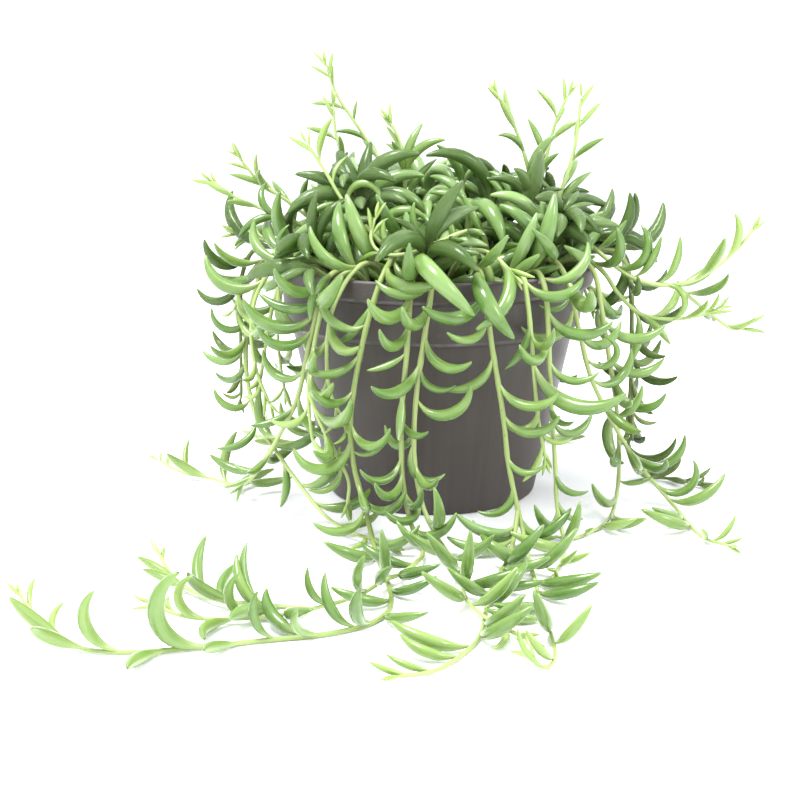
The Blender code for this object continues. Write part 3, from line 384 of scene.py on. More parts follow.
def neighbours(pts, seg_a, seg_node, reach):
    """Pairs of pieces of different nodes whose middles are within reach of each other."""
    mids = (pts[seg_a] + pts[seg_a + 1]) / 2
    tree = kdtree.KDTree(len(mids))
    for i, m in enumerate(mids):
        tree.insert(m, i)
    tree.balance()
    found = set()
    for i, m in enumerate(mids):
        for _, j, _ in tree.find_range(m, reach):
            if j > i and seg_node[i] != seg_node[j]:
                found.add((i, j))
    return np.array(sorted(found)).reshape(-1, 2)


def pushes_apart(pts, rad, ia, ja):
    """How each point moves to bring the pieces that start at ia and ja further from each other."""
    s, t = nearest_on_segments(pts[ia], pts[ia + 1], pts[ja], pts[ja + 1])
    ci = pts[ia] * (1 - s)[:, None] + pts[ia + 1] * s[:, None]
    cj = pts[ja] * (1 - t)[:, None] + pts[ja + 1] * t[:, None]
    apart = ci - cj
    dist = np.linalg.norm(apart, axis=1)
    need = rad[ia] + rad[ja] + STEM_GAP
    close = dist < need
    push = np.zeros_like(pts)
    weight = np.zeros(len(pts))
    for i0, j0, si, tj, ap, ds, nd in zip(
        ia[close], ja[close], s[close], t[close], apart[close], dist[close], need[close]
    ):
        way = ap / ds if ds > TOUCHING else np.array([0.0, 0.0, 1.0])
        move = way * (nd - ds) * 0.5
        for k, w, sign in ((i0, 1 - si, 1), (i0 + 1, si, 1), (j0, 1 - tj, -1), (j0 + 1, tj, -1)):
            push[k] += sign * w * move
            weight[k] += w
    return push / np.maximum(weight, LEAST_WEIGHT)[:, None] * PUSH_SHARE


def settle(stems, rounds, ease):
    """Pushes the stems apart and out of pot, soil and floor, a little at a time.

    ease is how strongly each round also smooths the stems and draws them back to their own routes.
    """
    node_ids = {name: i for i, name in enumerate(dict.fromkeys(s.node for s in stems))}
    starts = np.cumsum([0] + [len(s.points) for s in stems])
    pts = np.vstack([s.points for s in stems])
    home = pts.copy()
    rad = np.concatenate([s.radii() for s in stems])
    movable = np.ones(len(pts))
    seg_a, seg_node, inner = [], [], []
    for s, first in zip(stems, starts):
        movable[first:first + s.fixed] = 0
        seg_a += range(first, first + len(s.points) - 1)
        seg_node += [node_ids[s.node]] * (len(s.points) - 1)
        inner += range(first + s.fixed, first + len(s.points) - 1)
    seg_a, seg_node, inner = np.array(seg_a), np.array(seg_node), np.array(inner)
    index = {id(s): first for s, first in zip(stems, starts)}
    a = seg_a[movable[seg_a + 1] > 0]
    b = a + 1
    longest = np.linalg.norm(pts[seg_a + 1] - pts[seg_a], axis=1).max()
    reach = longest + 2 * STEM_R + STEM_GAP + LOOK_FURTHER
    for turn in range(rounds):
        if turn % LOOK_AGAIN == 0:
            pairs = neighbours(pts, seg_a, seg_node, reach)
        if ease:
            middle = (pts[inner - 1] + pts[inner + 1]) / 2
            pts[inner] += SMOOTHING * ease * (middle - pts[inner])
            pts += (DRAW_BACK * ease * (home - pts)) * movable[:, None]
        pts += pushes_apart(pts, rad, seg_a[pairs[:, 0]], seg_a[pairs[:, 1]]) * movable[:, None]
        # Out of pot and soil: first each point, then the middle of each piece, which moves both its ends
        for share in (0.0, 0.5):
            gap, out = body_gap(pts[b] * (1 - share) + pts[a] * share)
            short = np.maximum(rad[a] + STEM_GAP - gap, 0)
            move = out * (short * (1 - share / 2))[:, None]
            np.add.at(pts, b, move * movable[b][:, None])
            if share:
                np.add.at(pts, a, move * movable[a][:, None])
        pts[:, 2] = np.where(movable > 0, np.maximum(pts[:, 2], rad + FLOOR_GAP), pts[:, 2])
        for stem in stems:
            if stem.parent is not None:
                pts[index[id(stem)]] = pts[index[id(stem.parent)] + stem.link]
    for stem, first in zip(stems, starts):
        stem.points = np.round(pts[first:first + len(stem.points)], 3)


def leaf_width(t):
    """Half width of a leaf at a share t of its length, as a share of its greatest half width."""
    narrow_foot = partly(FOOT_WIDTH, np.clip(t / FOOT_END, 0, 1) ** FOOT_SWELL)
    return (1 - (2 * t**WIDEST_EARLY - 1) ** 2) ** BLUNTNESS * narrow_foot


def pieces_for(bend):
    """How many pieces a leaf's centre line has: more, the more it is bent."""
    return min(pieces for pieces, (most, _) in LEAF_RINGS.items() if bend <= most)


def leaf_line(root, along, out, start, bend, length, steps):
    """Centre line of a leaf that leaves the stem at start degrees and hooks back by bend degrees."""
    fine = 24
    t = (np.arange(fine) + 0.5) / fine
    angle = np.radians(start + bend * t)
    moves = (np.cos(angle)[:, None] * along + np.sin(angle)[:, None] * out) * (length / fine)
    line = np.vstack([[root], root + np.cumsum(moves, axis=0)])
    return points_at(steps, np.linspace(0, 1, fine + 1), line)


def side_of(along, toward):
    """The unit direction across the stem that points nearest to the one given."""
    toward = np.array(toward, float)
    across = toward - (toward @ along) * along
    if np.linalg.norm(across) < 1e-3:
        across = np.cross(along, [0.3, 0.9, 0.1])
    return unit(across)


def turned(out, along, degrees):
    """A direction across the stem, turned round it."""
    a = math.radians(degrees)
    return out * math.cos(a) + np.cross(along, out) * math.sin(a)


# Small changes to a leaf that would touch something: turn, start, bend and scale. The mildest come first,
# and the key says how much each one counts.
CHANGES = sorted(
    (
        (turn, start, bend, scale)
        for turn in (0, 14, -14, 28, -28, 45, -45, 65, -65, 90, -90, 120, -120, 160)
        for start in (0, 14, -12, 28)
        for bend in (0, -22, 18, -45)
        for scale in (1.0, 0.88, 0.76, 0.64)
    ),
    key=lambda c: abs(c[0]) / 26 + abs(c[1]) / 14 + abs(c[2]) / 22 + (1 - c[3]) * 9,
)

# The same for a leaf that is aimed: how far it leans back, a share of its bend, and its scale
AIMED_CHANGES = sorted(
    (
        (lean, bend, scale)
        for lean in (-0.2, 0.0, -0.4, 0.2, -0.7, 0.4, -1.1, 0.8, -1.6)
        for bend in (1.0, 0.8, 1.2, 0.55)
        for scale in (1.0, 0.93, 0.86, 0.78, 0.7)
    ),
    key=lambda c: abs(c[0] + 0.2) * 4 + abs(c[1] - 1) * 5 + (1 - c[2]) * 14,
)
MOST_TURN_AIMED = 50


class Leaf:
    """A placed leaf: its stem, where on it, the arc it follows, its half width and its own look."""

    def __init__(self, stem, along_mm, arc, half_width):
        self.stem = stem
        self.along_mm = along_mm
        self.arc = arc
        self.half_width = half_width
        draw = random.Random(round(along_mm * 10) + round(float(arc[0][0]) * 100))
        self.tone = draw.random()
        self.tip_shade = draw.random()
        self.flatness = draw.uniform(*FLATNESS)


class Layout:
    """All stems and leaves, with what has been placed so far kept as round-ended rods to test against.

    leaf_gap is the room that a leaf leaves to other nodes, and own_gap, where set, to its own node. tries
    and least_scale limit the changes that are made to a leaf to find it a place.
    """

    def __init__(self, stems):
        self.leaves = []
        self.leaf_gap = LEAF_GAP
        self.own_gap = None
        self.tries = len(CHANGES)
        self.least_scale = 0.0
        self.a = np.zeros((MOST_RODS, 3))
        self.b = np.zeros((MOST_RODS, 3))
        self.ra = np.zeros(MOST_RODS)
        self.rb = np.zeros(MOST_RODS)
        self.node = np.zeros(MOST_RODS, int)
        self.count = 0
        self.ids = {name: i for i, name in enumerate(dict.fromkeys(s.node for s in stems))}
        for stem in stems:
            self.add_rods(stem.points, stem.radii(), self.ids[stem.node])

    def add_stem(self, stem):
        """Adds a stem to what the others keep clear of."""
        self.add_rods(stem.points, stem.radii(), self.ids.setdefault(stem.node, len(self.ids)))

    def room_round(self, stem, first):
        """Least gap between all that has been placed and a new stem, from one of its points on."""
        return self.gaps(stem.points[None, first:], stem.radii()[None, first:], np.arange(self.count), 0)[0]

    def add_rods(self, points, radii, node_id):
        n = len(points) - 1
        rows = slice(self.count, self.count + n)
        self.a[rows], self.b[rows] = points[:-1], points[1:]
        self.ra[rows], self.rb[rows] = radii[:-1], radii[1:]
        self.node[rows] = node_id
        self.count += n

    def gaps(self, lines, radii, near, skip):
        """Least gap from each candidate line to the rods near by, leaving out its first skip pieces."""
        if not len(near):
            return np.full(len(lines), FAR)
        p1, q1 = lines[:, skip:-1, None], lines[:, skip + 1:, None]
        r1, s1 = radii[:, skip:-1, None], radii[:, skip + 1:, None]
        p2, q2 = self.a[near][None, None], self.b[near][None, None]
        s, t = nearest_on_segments(p1, q1, p2, q2)
        apart = p1 + (q1 - p1) * s[..., None] - p2 - (q2 - p2) * t[..., None]
        reach = r1 + (s1 - r1) * s + self.ra[near] + (self.rb[near] - self.ra[near]) * t
        return (np.linalg.norm(apart, axis=-1) - reach).min(axis=(1, 2))

    def grow_leaf(self, stem, along_mm, toward, start, bend, length, fat, most_turn=180):
        """Adds one leaf, changed as little as keeps it clear of other stems, pot, soil and floor."""
        root, along = stem.at(along_mm)
        out = side_of(along, toward)
        ways = {turn: turned(out, along, turn) for turn in dict.fromkeys(change[0] for change in CHANGES)}
        arcs = [
            (root, along, ways[turn], start + more, max(bend + hook, LEAST_BEND), length * scale)
            for turn, more, hook, scale in CHANGES[:self.tries]
            if abs(turn) <= most_turn and scale >= self.least_scale
        ]
        return self.place(stem, along_mm, arcs, fat)

    def place(self, stem, along_mm, arcs, fat):
        """Adds the first of some arcs, mildest first, that leaves enough room."""
        root = arcs[0][0]
        longest = max(arc[-1] for arc in arcs)
        node_id = self.ids[stem.node]
        mids = (self.a[:self.count] + self.b[:self.count]) / 2
        close = np.linalg.norm(mids - root, axis=1) < longest + LONGEST_CHORD / 2
        others = np.nonzero(close & (self.node[:self.count] != node_id))[0]
        own = np.nonzero(close & (self.node[:self.count] == node_id))[0]
        for first in range(0, len(arcs), BATCH):
            batch = arcs[first:first + BATCH]
            for pieces in dict.fromkeys(pieces_for(arc[4]) for arc in batch):
                chosen = [arc for arc in batch if pieces_for(arc[4]) == pieces]
                best = self.best_arc(chosen, np.array(LEAF_RINGS[pieces][1]), fat, others, own)
                if best is not None:
                    line, radii, arc = best
                    line = np.round(line, 3)
                    self.add_rods(line, radii, node_id)
                    self.leaves.append(Leaf(stem, along_mm, arc, max(arc[-1] * fat, LEAF_MIN_R)))
                    return True
        return False

    def best_arc(self, arcs, steps, fat, others, own):
        """The mildest arc that leaves enough room, with the leaf's line and radii."""
        lines = np.array([leaf_line(*arc, steps) for arc in arcs])
        radii = np.array([leaf_width(steps) * max(arc[-1] * fat, LEAF_MIN_R) for arc in arcs])
        shares = (0.2, 0.4, 0.6, 0.8, 1.0)
        tested = np.concatenate([lines[:, :-1] * (1 - u) + lines[:, 1:] * u for u in shares], axis=1)
        tested_r = np.concatenate([radii[:, :-1] * (1 - u) + radii[:, 1:] * u for u in shares], axis=1)
        flat, flat_r = tested.reshape(-1, 3), tested_r.reshape(-1)
        free = (body_gap(flat)[0] >= flat_r + GAP) & (flat[:, 2] >= flat_r + FLOOR_GAP)
        clear = free.reshape(tested_r.shape).all(axis=1)
        if clear.any():
            clear[clear] = self.gaps(lines[clear], radii[clear], others, 0) >= self.leaf_gap
        if not clear.any():
            return None
        own_gap = self.gaps(lines, radii, own, 2)
        if self.own_gap is not None:
            clear &= own_gap > self.own_gap
            if not clear.any():
                return None
        order = np.arange(len(arcs)) * ORDER_COST + np.maximum(OWN_GAP - own_gap, 0) * OWN_COST
        order[~clear] = np.inf
        k = int(order.argmin())
        return lines[k], radii[k], arcs[k]

    def grow_aimed(self, stem, along_mm, aim, reach, bend, fat):
        """Adds a leaf that points a given way as seen from the front, bowed towards the stem's tip."""
        root, along = stem.at(along_mm)
        arcs = []
        for lean, bend_share, scale in AIMED_CHANGES:
            chord = unit(np.array([math.cos(math.radians(aim)), lean, math.sin(math.radians(aim))]))
            half = math.radians(bend * bend_share / 2)
            length = reach * scale * half / math.sin(half)
            start = math.degrees(math.acos(float(np.clip(chord @ along, -1, 1))) - half)
            arcs.append((root, along, side_of(along, chord), start, bend * bend_share, length))
        if not self.place(stem, along_mm, arcs, fat):
            _, _, out, start, bend, length = arcs[0]
            self.grow_leaf(stem, along_mm, out, start, bend, length, fat, most_turn=MOST_TURN_AIMED)

    def grow_by_rule(self, stem, first, rng, gap_to=(), habit=None, last=None):
        """Leaves all along a stem: in a spiral on an upright one, left and right in turn on the others.

        habit is the leaves' length, their half width as a share of it, their spacing and how far back from
        the tip they are smaller. last is the distance at which they end.
        """
        kind = stem.kind
        length, fat, spacing, reach = habit or (*HABITS.get(kind, HABITS["stem"]), YOUNG_REACH)
        total = stem.lengths()[-1]
        along_mm = first
        spiral = rng.uniform(0, 360)
        side = rng.choice((-1, 1))
        while along_mm < (last or total - TIP_CLEAR):
            point, along = stem.at(along_mm)
            if kind in HABITS:
                spiral += GOLDEN_ANGLE + rng.uniform(-SPIRAL_SPREAD, SPIRAL_SPREAD)
                toward = turned(side_of(along, (1, 0, 0)), along, spiral)
            else:
                side = -side
                away = (point[0], point[1], 0) if abs(along[2]) > UPRIGHT else (0, 0, 1)
                toward = turned(side_of(along, away), along, side * rng.uniform(*SIDE_RANGE))
            left = total - along_mm
            young = min(1.0, YOUNG_SHARE + left / reach)
            start = rng.uniform(*START_RANGE) * partly(YOUNG_START, young)
            hook = HOOK - HOOK_BY_RISE * along[2] + rng.uniform(-HOOK_SPREAD, HOOK_SPREAD)
            if kind == "mound":
                hook = rng.uniform(*MOUND_HOOKS)
            size = length * young * rng.uniform(*SIZE_RANGE)
            step = spacing * partly(YOUNG_STEP, young) * rng.uniform(*STEP_RANGE)
            free = all(abs(along_mm - other) > spacing * KEEP_OFF for other in gap_to)
            if free and size >= SMALLEST_LEAF:
                hook *= partly(YOUNG_HOOK, young)
                self.grow_leaf(stem, along_mm, toward, start, hook, size, fat * partly(YOUNG_FAT, young))
            along_mm += step


# Routes of the stems. The first item is where the stem stands in the soil, then points along it to its tip.
TRAILING = {
    "trailing_stem_long": [
        (-8, -22), (-10, -36, 105), (-14, -52, 103), (-17, -62, 98), (-22, -67, 85), (-27, -68, 64),
        (-30, -69, 43), (-29, -69, 28), (-24, -71, 12), (-21, -80, 2), (-17, -104, 1), (-13, -125, 1),
        (-12, -141, 1), (-17, -152, 1), (-28, -160, 1), (-49, -165, 1), (-79, -174, 1), (-103, -175, 1),
        (-115, -165, 3), (-125, -158, 11),
    ],
    "trailing_stem_front_1": [
        (-3, -38), (-6, -56, 99), (-8, -67, 88), (-9, -69, 69), (-11, -70, 52), (-11, -71, 31),
        (-10, -74, 16), (-6, -81, 4), (-1, -92, 3), (-9, -112, 2), (-26, -135, 2), (-38, -144, 2),
        (-54, -151, 2), (-79, -152, 2), (-88, -147, 5),
    ],
    "trailing_stem_front_2": [
        (3, -42), (1, -58, 98), (-1, -67, 88), (-4, -69, 67), (-6, -70, 53), (-7, -71, 38),
        (-6, -73, 25), (-4, -75, 15), (1, -80, 5), (5, -88, 2), (10, -104, 2), (10, -126, 2),
        (14, -148, 2), (21, -158, 2), (29, -165, 2),
    ],
    "trailing_stem_front_3": [
        (12, -36), (16, -52, 101), (17, -63, 97), (19, -67, 87), (22, -68, 67), (25, -68, 52),
        (27, -68, 37), (28, -69, 24), (32, -72, 11), (34, -78, 2), (34, -90, 1), (35, -116, 1),
        (35, -132, 1), (36, -149, 1), (37, -167, 1), (36, -183, 1), (32, -189, 1), (28, -184, 2),
        (29, -176, 4),
    ],
    "trailing_stem_left_1": [
        (-42, -6), (-52, -7, 97), (-62, -8, 100), (-70, -9, 95), (-76, -10, 86), (-80, -10, 74),
    ],
    "trailing_stem_left_2": [
        (-38, -16), (-50, -15, 98), (-61, -15, 99), (-69, -17, 88), (-72, -20, 75), (-74, -22, 62),
        (-73, -24, 48), (-70, -28, 36), (-65, -34, 28), (-58, -41, 22), (-52, -50, 17), (-45, -60, 11),
        (-36, -68, 4), (-26, -74, 2), (-14, -81, 2),
    ],
    "trailing_stem_left_3": [
        (-36, -25), (-47, -25, 98), (-58, -25, 99), (-66, -26, 90), (-70, -30, 80), (-70, -34, 67),
        (-67, -38, 53), (-62, -40, 43),
    ],
    "trailing_stem_left_4": [
        (-30, -32), (-42, -35, 100), (-53, -36, 99), (-58, -36, 91), (-61, -34, 82), (-63, -32, 72),
        (-65, -31, 62), (-67, -30, 50),
    ],
    "trailing_stem_left_5": [
        (-26, -38), (-33, -48, 99), (-38, -56, 97), (-42, -56, 84), (-45, -57, 70), (-48, -56, 56),
        (-52, -50, 43), (-57, -45, 34), (-62, -41, 25), (-70, -30, 12), (-78, -18, 3), (-88, -4, 2),
        (-97, 4, 2), (-110, 8, 2), (-117, 15, 5),
    ],
    "trailing_stem_left_6": [
        (-22, -44), (-29, -53, 100), (-36, -60, 95), (-41, -58, 84), (-43, -58, 71), (-46, -60, 53),
        (-45, -60, 33), (-43, -61, 28), (-38, -64, 29),
    ],
    "trailing_stem_left_7": [
        (-16, -36), (-23, -50, 102), (-30, -60, 97), (-37, -60, 84), (-39, -61, 70), (-38, -62, 55),
        (-35, -64, 44), (-30, -66, 41),
    ],
    "trailing_stem_right_1": [
        (24, -38), (29, -50, 99), (33, -58, 97), (34, -60, 87), (36, -61, 73), (37, -62, 60),
        (38, -62, 47), (40, -62, 37), (42, -61, 28),
    ],
    "trailing_stem_right_2": [
        (31, -32), (37, -47, 98), (40, -55, 97), (42, -57, 86), (42, -59, 72), (43, -60, 58),
        (44, -59, 45), (46, -58, 28), (46, -60, 12), (48, -64, 2), (49, -76, 1), (47, -90, 1),
        (42, -107, 1),
    ],
    "trailing_stem_right_3": [
        (36, -22), (43, -38, 102), (48, -48, 98), (52, -48, 86), (55, -46, 70), (58, -44, 58),
        (62, -41, 51), (66, -37, 43), (71, -33, 33), (77, -30, 23), (84, -27, 14), (90, -26, 7),
        (95, -32, 2), (97, -46, 1), (98, -60, 1), (100, -74, 1), (107, -80, 2),
    ],
    "trailing_stem_right_4": [
        (40, -12), (50, -20, 98), (60, -28, 98), (63, -32, 89), (65, -31, 76), (68, -28, 62),
        (71, -27, 48), (73, -27, 34), (74, -28, 22), (73, -34, 9), (70, -46, 2), (62, -61, 1),
        (52, -71, 1),
    ],
    "arching_stem_right_1": [
        (38, 2), (45, 0, 100), (51, -2, 107), (57, -7, 106), (63, -13, 101), (68, -18, 96),
        (74, -22, 91), (80, -25, 88), (88, -28, 87), (96, -30, 88), (103, -30, 91), (110, -30, 97),
        (117, -29, 103), (121, -28, 110),
    ],
    "arching_stem_right_2": [
        (44, -5), (54, -12, 98), (63, -18, 98), (69, -21, 89), (73, -22, 80), (79, -21, 75),
        (86, -20, 73), (94, -20, 73), (103, -20, 74), (111, -20, 78),
    ],
}

# Stems that start on another one: the stem that carries them, then their route from there
BRANCHES = [
    ("trailing_stem_front_1", [
        (-38, -144, 2), (-52, -145, 4), (-64, -141, 3), (-75, -133, 2), (-88, -115, 2), (-93, -107, 7),
    ]),
    ("trailing_stem_front_3", [
        (32, -72, 11), (30, -80, 5), (27, -95, 1), (21, -116, 1), (18, -132, 1), (17, -147, 1),
        (15, -162, 1), (8, -179, 1), (-2, -190, 1), (-10, -192, 2),
    ]),
    ("trailing_stem_left_5", [
        (-57, -45, 34), (-62, -48, 24), (-68, -48, 16), (-73, -47, 13),
    ]),
    ("trailing_stem_left_6", [
        (-46, -60, 53), (-42, -64, 44), (-37, -66, 36), (-31, -68, 26), (-28, -68, 18), (-31, -69, 12),
    ]),
    ("arching_stem_right_1", [
        (88, -28, 87), (93, -21, 88), (98, -15, 84), (104, -12, 79), (112, -10, 73), (118, -10, 66),
        (124, -10, 65), (127, -10, 71),
    ]),
]

# Stems that trail down the back of the pot: bearing from +X, how far they hang, then how far and on which
# bearing they run along the floor
BACK_STEMS = [
    ("trailing_stem_back_1", 24, 26, 0, 0),
    ("trailing_stem_back_2", 47, 92, 30, 60),
    ("trailing_stem_back_3", 68, 58, 0, 0),
    ("trailing_stem_back_4", 90, 92, 26, 112),
    ("trailing_stem_back_5", 111, 44, 0, 0),
    ("trailing_stem_back_6", 133, 92, 34, 150),
    ("trailing_stem_back_7", 156, 66, 0, 0),
]
# Their way over the rim
BACK_FOOT_R = 44.0
BACK_RISE_R = 55.0
BACK_RISE_Z = 97.0
BACK_RIM_Z = 99.0
# Where they hang: their points, how far off the rim at the top, how much more at the end, and their sway
HANG_SHARES = (0.12, 0.35, 0.62, 0.85, 1.0)
HANG_OFF = 4.0
HANG_MORE = 3.0
BACK_SWAY = 5.0
# Where they reach the floor and lie on it: how far off the rim, their heights, their points and their bend
TOUCH_OFF = 12.0
TOUCH_Z = 3.0
LIE_SHARES = (0.35, 0.7, 1.0)
LIE_Z = 1.5
BACK_BEND = 6.0

# Upright and outward shoots above the pot
SHOOTS = {
    "shoot_left_1": [
        (-34, 4), (-42, 1, 99), (-52, -3, 109), (-60, -5, 112), (-68, -5, 115), (-75, -5, 117),
        (-81, -5, 120), (-88, -5, 126),
    ],
    "shoot_left_2": [
        (-30, 15), (-42, 15, 102), (-54, 15, 112), (-62, 15, 118), (-70, 15, 122), (-76, 15, 128),
        (-80, 15, 135),
    ],
    "shoot_left_3": [(-44, 8), (-54, 6, 97), (-64, 5, 101), (-72, 4, 103), (-80, 3, 104)],
    "shoot_back_left": [
        (-8, 26), (-14, 26, 104), (-17, 25, 120), (-21, 25, 131), (-28, 25, 142), (-34, 25, 149),
        (-39, 25, 156), (-43, 25, 164), (-44, 25, 171),
    ],
    "shoot_mid_left": [
        (-22, 20), (-29, 20, 104), (-33, 20, 118), (-36, 20, 130), (-40, 20, 141), (-42, 20, 148),
        (-41, 20, 155),
    ],
    "shoot_front_left": [
        (-12, -30), (-13, -37, 98), (-17, -38, 104), (-24, -35, 109), (-29, -32, 113), (-33, -30, 118),
        (-37, -27, 124), (-40, -25, 130), (-44, -23, 135), (-48, -22, 141),
    ],
    "shoot_centre": [
        (-10, -2), (-10, -3, 100), (-11, -5, 118), (-11, -5, 133), (-12, -5, 142), (-17, -5, 149),
    ],
    "shoot_right_1": [
        (33, 12), (37, 8, 101), (41, 2, 113), (40, 0, 122), (36, 0, 136), (32, 0, 148), (25, 0, 159),
    ],
    "shoot_right_2": [
        (34, 21), (39, 19, 104), (43, 15, 120), (46, 15, 135), (48, 15, 145), (50, 15, 153),
        (54, 15, 159),
    ],
    "shoot_right_3": [
        (44, 2), (45, -2, 103), (48, -5, 117), (52, -5, 126), (55, -5, 137), (57, -5, 147),
        (57, -5, 158),
    ],
    "shoot_curled": [
        (20, -24), (21, -32, 103), (19, -40, 112), (14, -44, 112), (8, -49, 110), (2, -53, 107),
        (-5, -56, 104), (-12, -58, 102), (-18, -56, 101), (-23, -53, 103), (-25, -51, 108),
        (-24, -50, 113), (-21, -50, 116),
    ],
    "shoot_front_right": [
        (5, -32), (9, -44, 101), (14, -50, 106), (20, -55, 106), (25, -60, 102), (29, -64, 97),
    ],
}

# How far a tuft has leaned over halfway up, and how much higher than halfway it is there
TUFT_LEAN = 0.4
TUFT_RISE = 2.0
# Leafy tufts of the mound: where each stands in the soil, and its tip
MOUND = [
    ((-50, -14), (-60, -24, 100)), ((-48, 20), (-60, 26, 104)), ((-26, -20), (-33, -30, 112)),
    ((-20, -8), (-30, -10, 118)), ((-26, 32), (-34, 42, 112)), ((-4, 40), (-6, 52, 108)),
    ((-2, 12), (-4, 16, 124)), ((-1, -14), (-2, -24, 118)), ((12, -12), (14, -22, 120)),
    ((10, 2), (12, 2, 126)), ((16, 22), (18, 30, 122)), ((24, -4), (30, -10, 120)),
    ((26, 32), (32, 44, 110)), ((30, -16), (42, -28, 112)), ((48, 14), (60, 20, 108)),
    ((0, -30), (2, -46, 106)),
]


# Leaves that stand out, listed one by one: how far along its stem each one grows, which way it points as seen
# from the front (degrees from the right, turning up), how far off its tip is, and by how much it bends
LEAVES = {
    "trailing_stem_long": [
        (50, -35, 33, 150), (70, 230, 22, 40), (90, 190, 21, 75), (120, 185, 21, 150),
        (125, 20, 13, 60), (265, 100, 18, 70), (285, 100, 27, 130), (310, 100, 22, 100),
    ],
    "trailing_stem_front_1": [
        (65, 200, 16, 30), (80, 265, 19, 50), (90, -5, 15, 85), (140, 130, 15, 90), (200, 115, 16, 80),
        (225, 100, 17, 110), (240, 100, 16, 140),
    ],
    "trailing_stem_front_2": [
        (25, -40, 27, 150), (65, 190, 26, 90), (65, -25, 15, 150), (80, 25, 22, 120),
        (95, -40, 16, 180), (115, 175, 17, 120), (175, 85, 24, 40),
    ],
    "trailing_stem_front_3": [
        (70, 210, 22, 80), (105, -10, 14, 150), (115, 220, 17, 120), (125, -30, 18, 100),
        (130, 175, 18, 130), (150, 150, 22, 160), (205, 170, 20, 50), (225, 55, 19, 60),
    ],
    "trailing_stem_right_1": [(50, 240, 20, 50), (65, -10, 36, 100), (80, 190, 12, 180), (95, 240, 16, 40)],
    "trailing_stem_right_2": [(80, -35, 12, 130), (105, -30, 15, 110), (115, -40, 14, 90)],
    "trailing_stem_right_3": [(50, 195, 13, 100), (75, 55, 11, 190), (105, 55, 19, 70), (140, 40, 18, 150)],
    "trailing_stem_right_4": [(70, 105, 15, 60), (100, -80, 18, 170), (125, 15, 14, 30)],
    "arching_stem_right_1": [
        (50, 50, 17, 20), (60, 65, 19, 140), (70, 65, 20, 30), (80, 75, 21, 40), (80, -75, 14, 150),
        (105, 85, 19, 70),
    ],
    "arching_stem_right_2": [(60, -45, 18, 30), (60, 260, 21, 30)],
    "trailing_stem_left_2": [(60, 170, 15, 160), (95, 155, 16, 110), (125, 265, 18, 60)],
    "trailing_stem_left_4": [(25, 200, 21, 80), (35, -50, 24, 40)],
    "trailing_stem_left_5": [(30, 245, 22, 60), (85, 200, 18, 60)],
    "trailing_stem_left_6": [(40, 175, 26, 70)],
    "shoot_left_1": [(45, 205, 20, 60), (45, 115, 16, 120), (55, 165, 15, 40), (65, 150, 15, 10)],
    "shoot_left_2": [(55, 120, 16, 110), (60, 160, 17, 20)],
    "shoot_front_left": [(30, 25, 20, 130), (45, 180, 18, 90), (50, 0, 13, 170), (70, 70, 18, 40)],
    "shoot_back_left": [(65, 165, 15, 50), (75, 80, 9, 20), (95, 150, 10, 20)],
    "shoot_mid_left": [(65, 160, 14, 20)],
    "shoot_centre": [(50, 40, 22, 70), (50, 70, 22, 40), (50, 110, 18, 40)],
    "shoot_right_1": [(45, 70, 27, 60), (60, 145, 15, 80), (70, 120, 17, 20), (75, 105, 14, 20)],
    "shoot_right_2": [(65, 35, 16, 30), (75, 130, 15, 30)],
    "shoot_right_3": [(70, 50, 14, 10)],
    "shoot_front_right": [(35, 260, 20, 30), (40, 280, 20, 40), (50, 245, 30, 90)],
    "mound_tuft_3": [(30, 200, 24, 50)],
    "mound_tuft_12": [(32, 270, 22, 30)],
    "mound_tuft_14": [(30, 220, 26, 40)],
}


def back_route(bearing, drop, run, run_bearing):
    """A route over the rim at a bearing, down by the given drop and out along the floor."""
    a = math.radians(bearing)
    radial, side = np.array([math.cos(a), math.sin(a)]), np.array([-math.sin(a), math.cos(a)])
    rim = POT_TOP_D / 2
    route = [
        tuple(radial * BACK_FOOT_R),
        (*(radial * BACK_RISE_R), BACK_RISE_Z),
        (*(radial * (rim - 1)), BACK_RIM_Z),
    ]
    for share in HANG_SHARES:
        sway = side * BACK_SWAY * math.sin(share * 5 + bearing)
        route.append((*(radial * (rim + HANG_OFF + HANG_MORE * share) + sway), BACK_RISE_Z - drop * share))
    if run:
        b = math.radians(run_bearing)
        step = np.array([math.cos(b), math.sin(b)])
        foot = radial * (rim + TOUCH_OFF)
        route[-1] = (*foot, TOUCH_Z)
        for share in LIE_SHARES:
            bend = side * BACK_BEND * math.sin(share * 3)
            route.append((*(foot + step * run * share + bend), LIE_Z))
    return route


def plan_stems():
    """All stems with their routes, settled clear of each other, of the pot, the soil and the floor."""
    stems = [Stem(name, route) for name, route in TRAILING.items()]
    by_name = {s.node: s for s in stems}
    stems += [Stem(carrier, route, parent=by_name[carrier]) for carrier, route in BRANCHES]
    stems += [Stem(name, back_route(*values)) for name, *values in BACK_STEMS]
    stems += [Stem(name, route, tip_r=SHOOT_TIP_R) for name, route in SHOOTS.items()]
    for number, (foot, tip) in enumerate(MOUND, 1):
        x, y = (a * (1 - TUFT_LEAN) + b * TUFT_LEAN for a, b in zip(foot, tip))
        middle = (x, y, (SOIL_Z + tip[2]) / 2 + TUFT_RISE)
        stems.append(Stem(f"mound_tuft_{number}", [foot, middle, tip], tip_r=TUFT_TIP_R))
    settle(stems, SETTLE_ROUNDS, 1.0)
    for stem in stems:
        stem.decimate()
    for stem in stems:
        if stem.parent is not None:
            stem.link = stem.parent.renumber[stem.link]
            stem.points[0] = stem.parent.points[stem.link]
    settle(stems, SETTLE_ROUNDS, 0.0)
    return stems


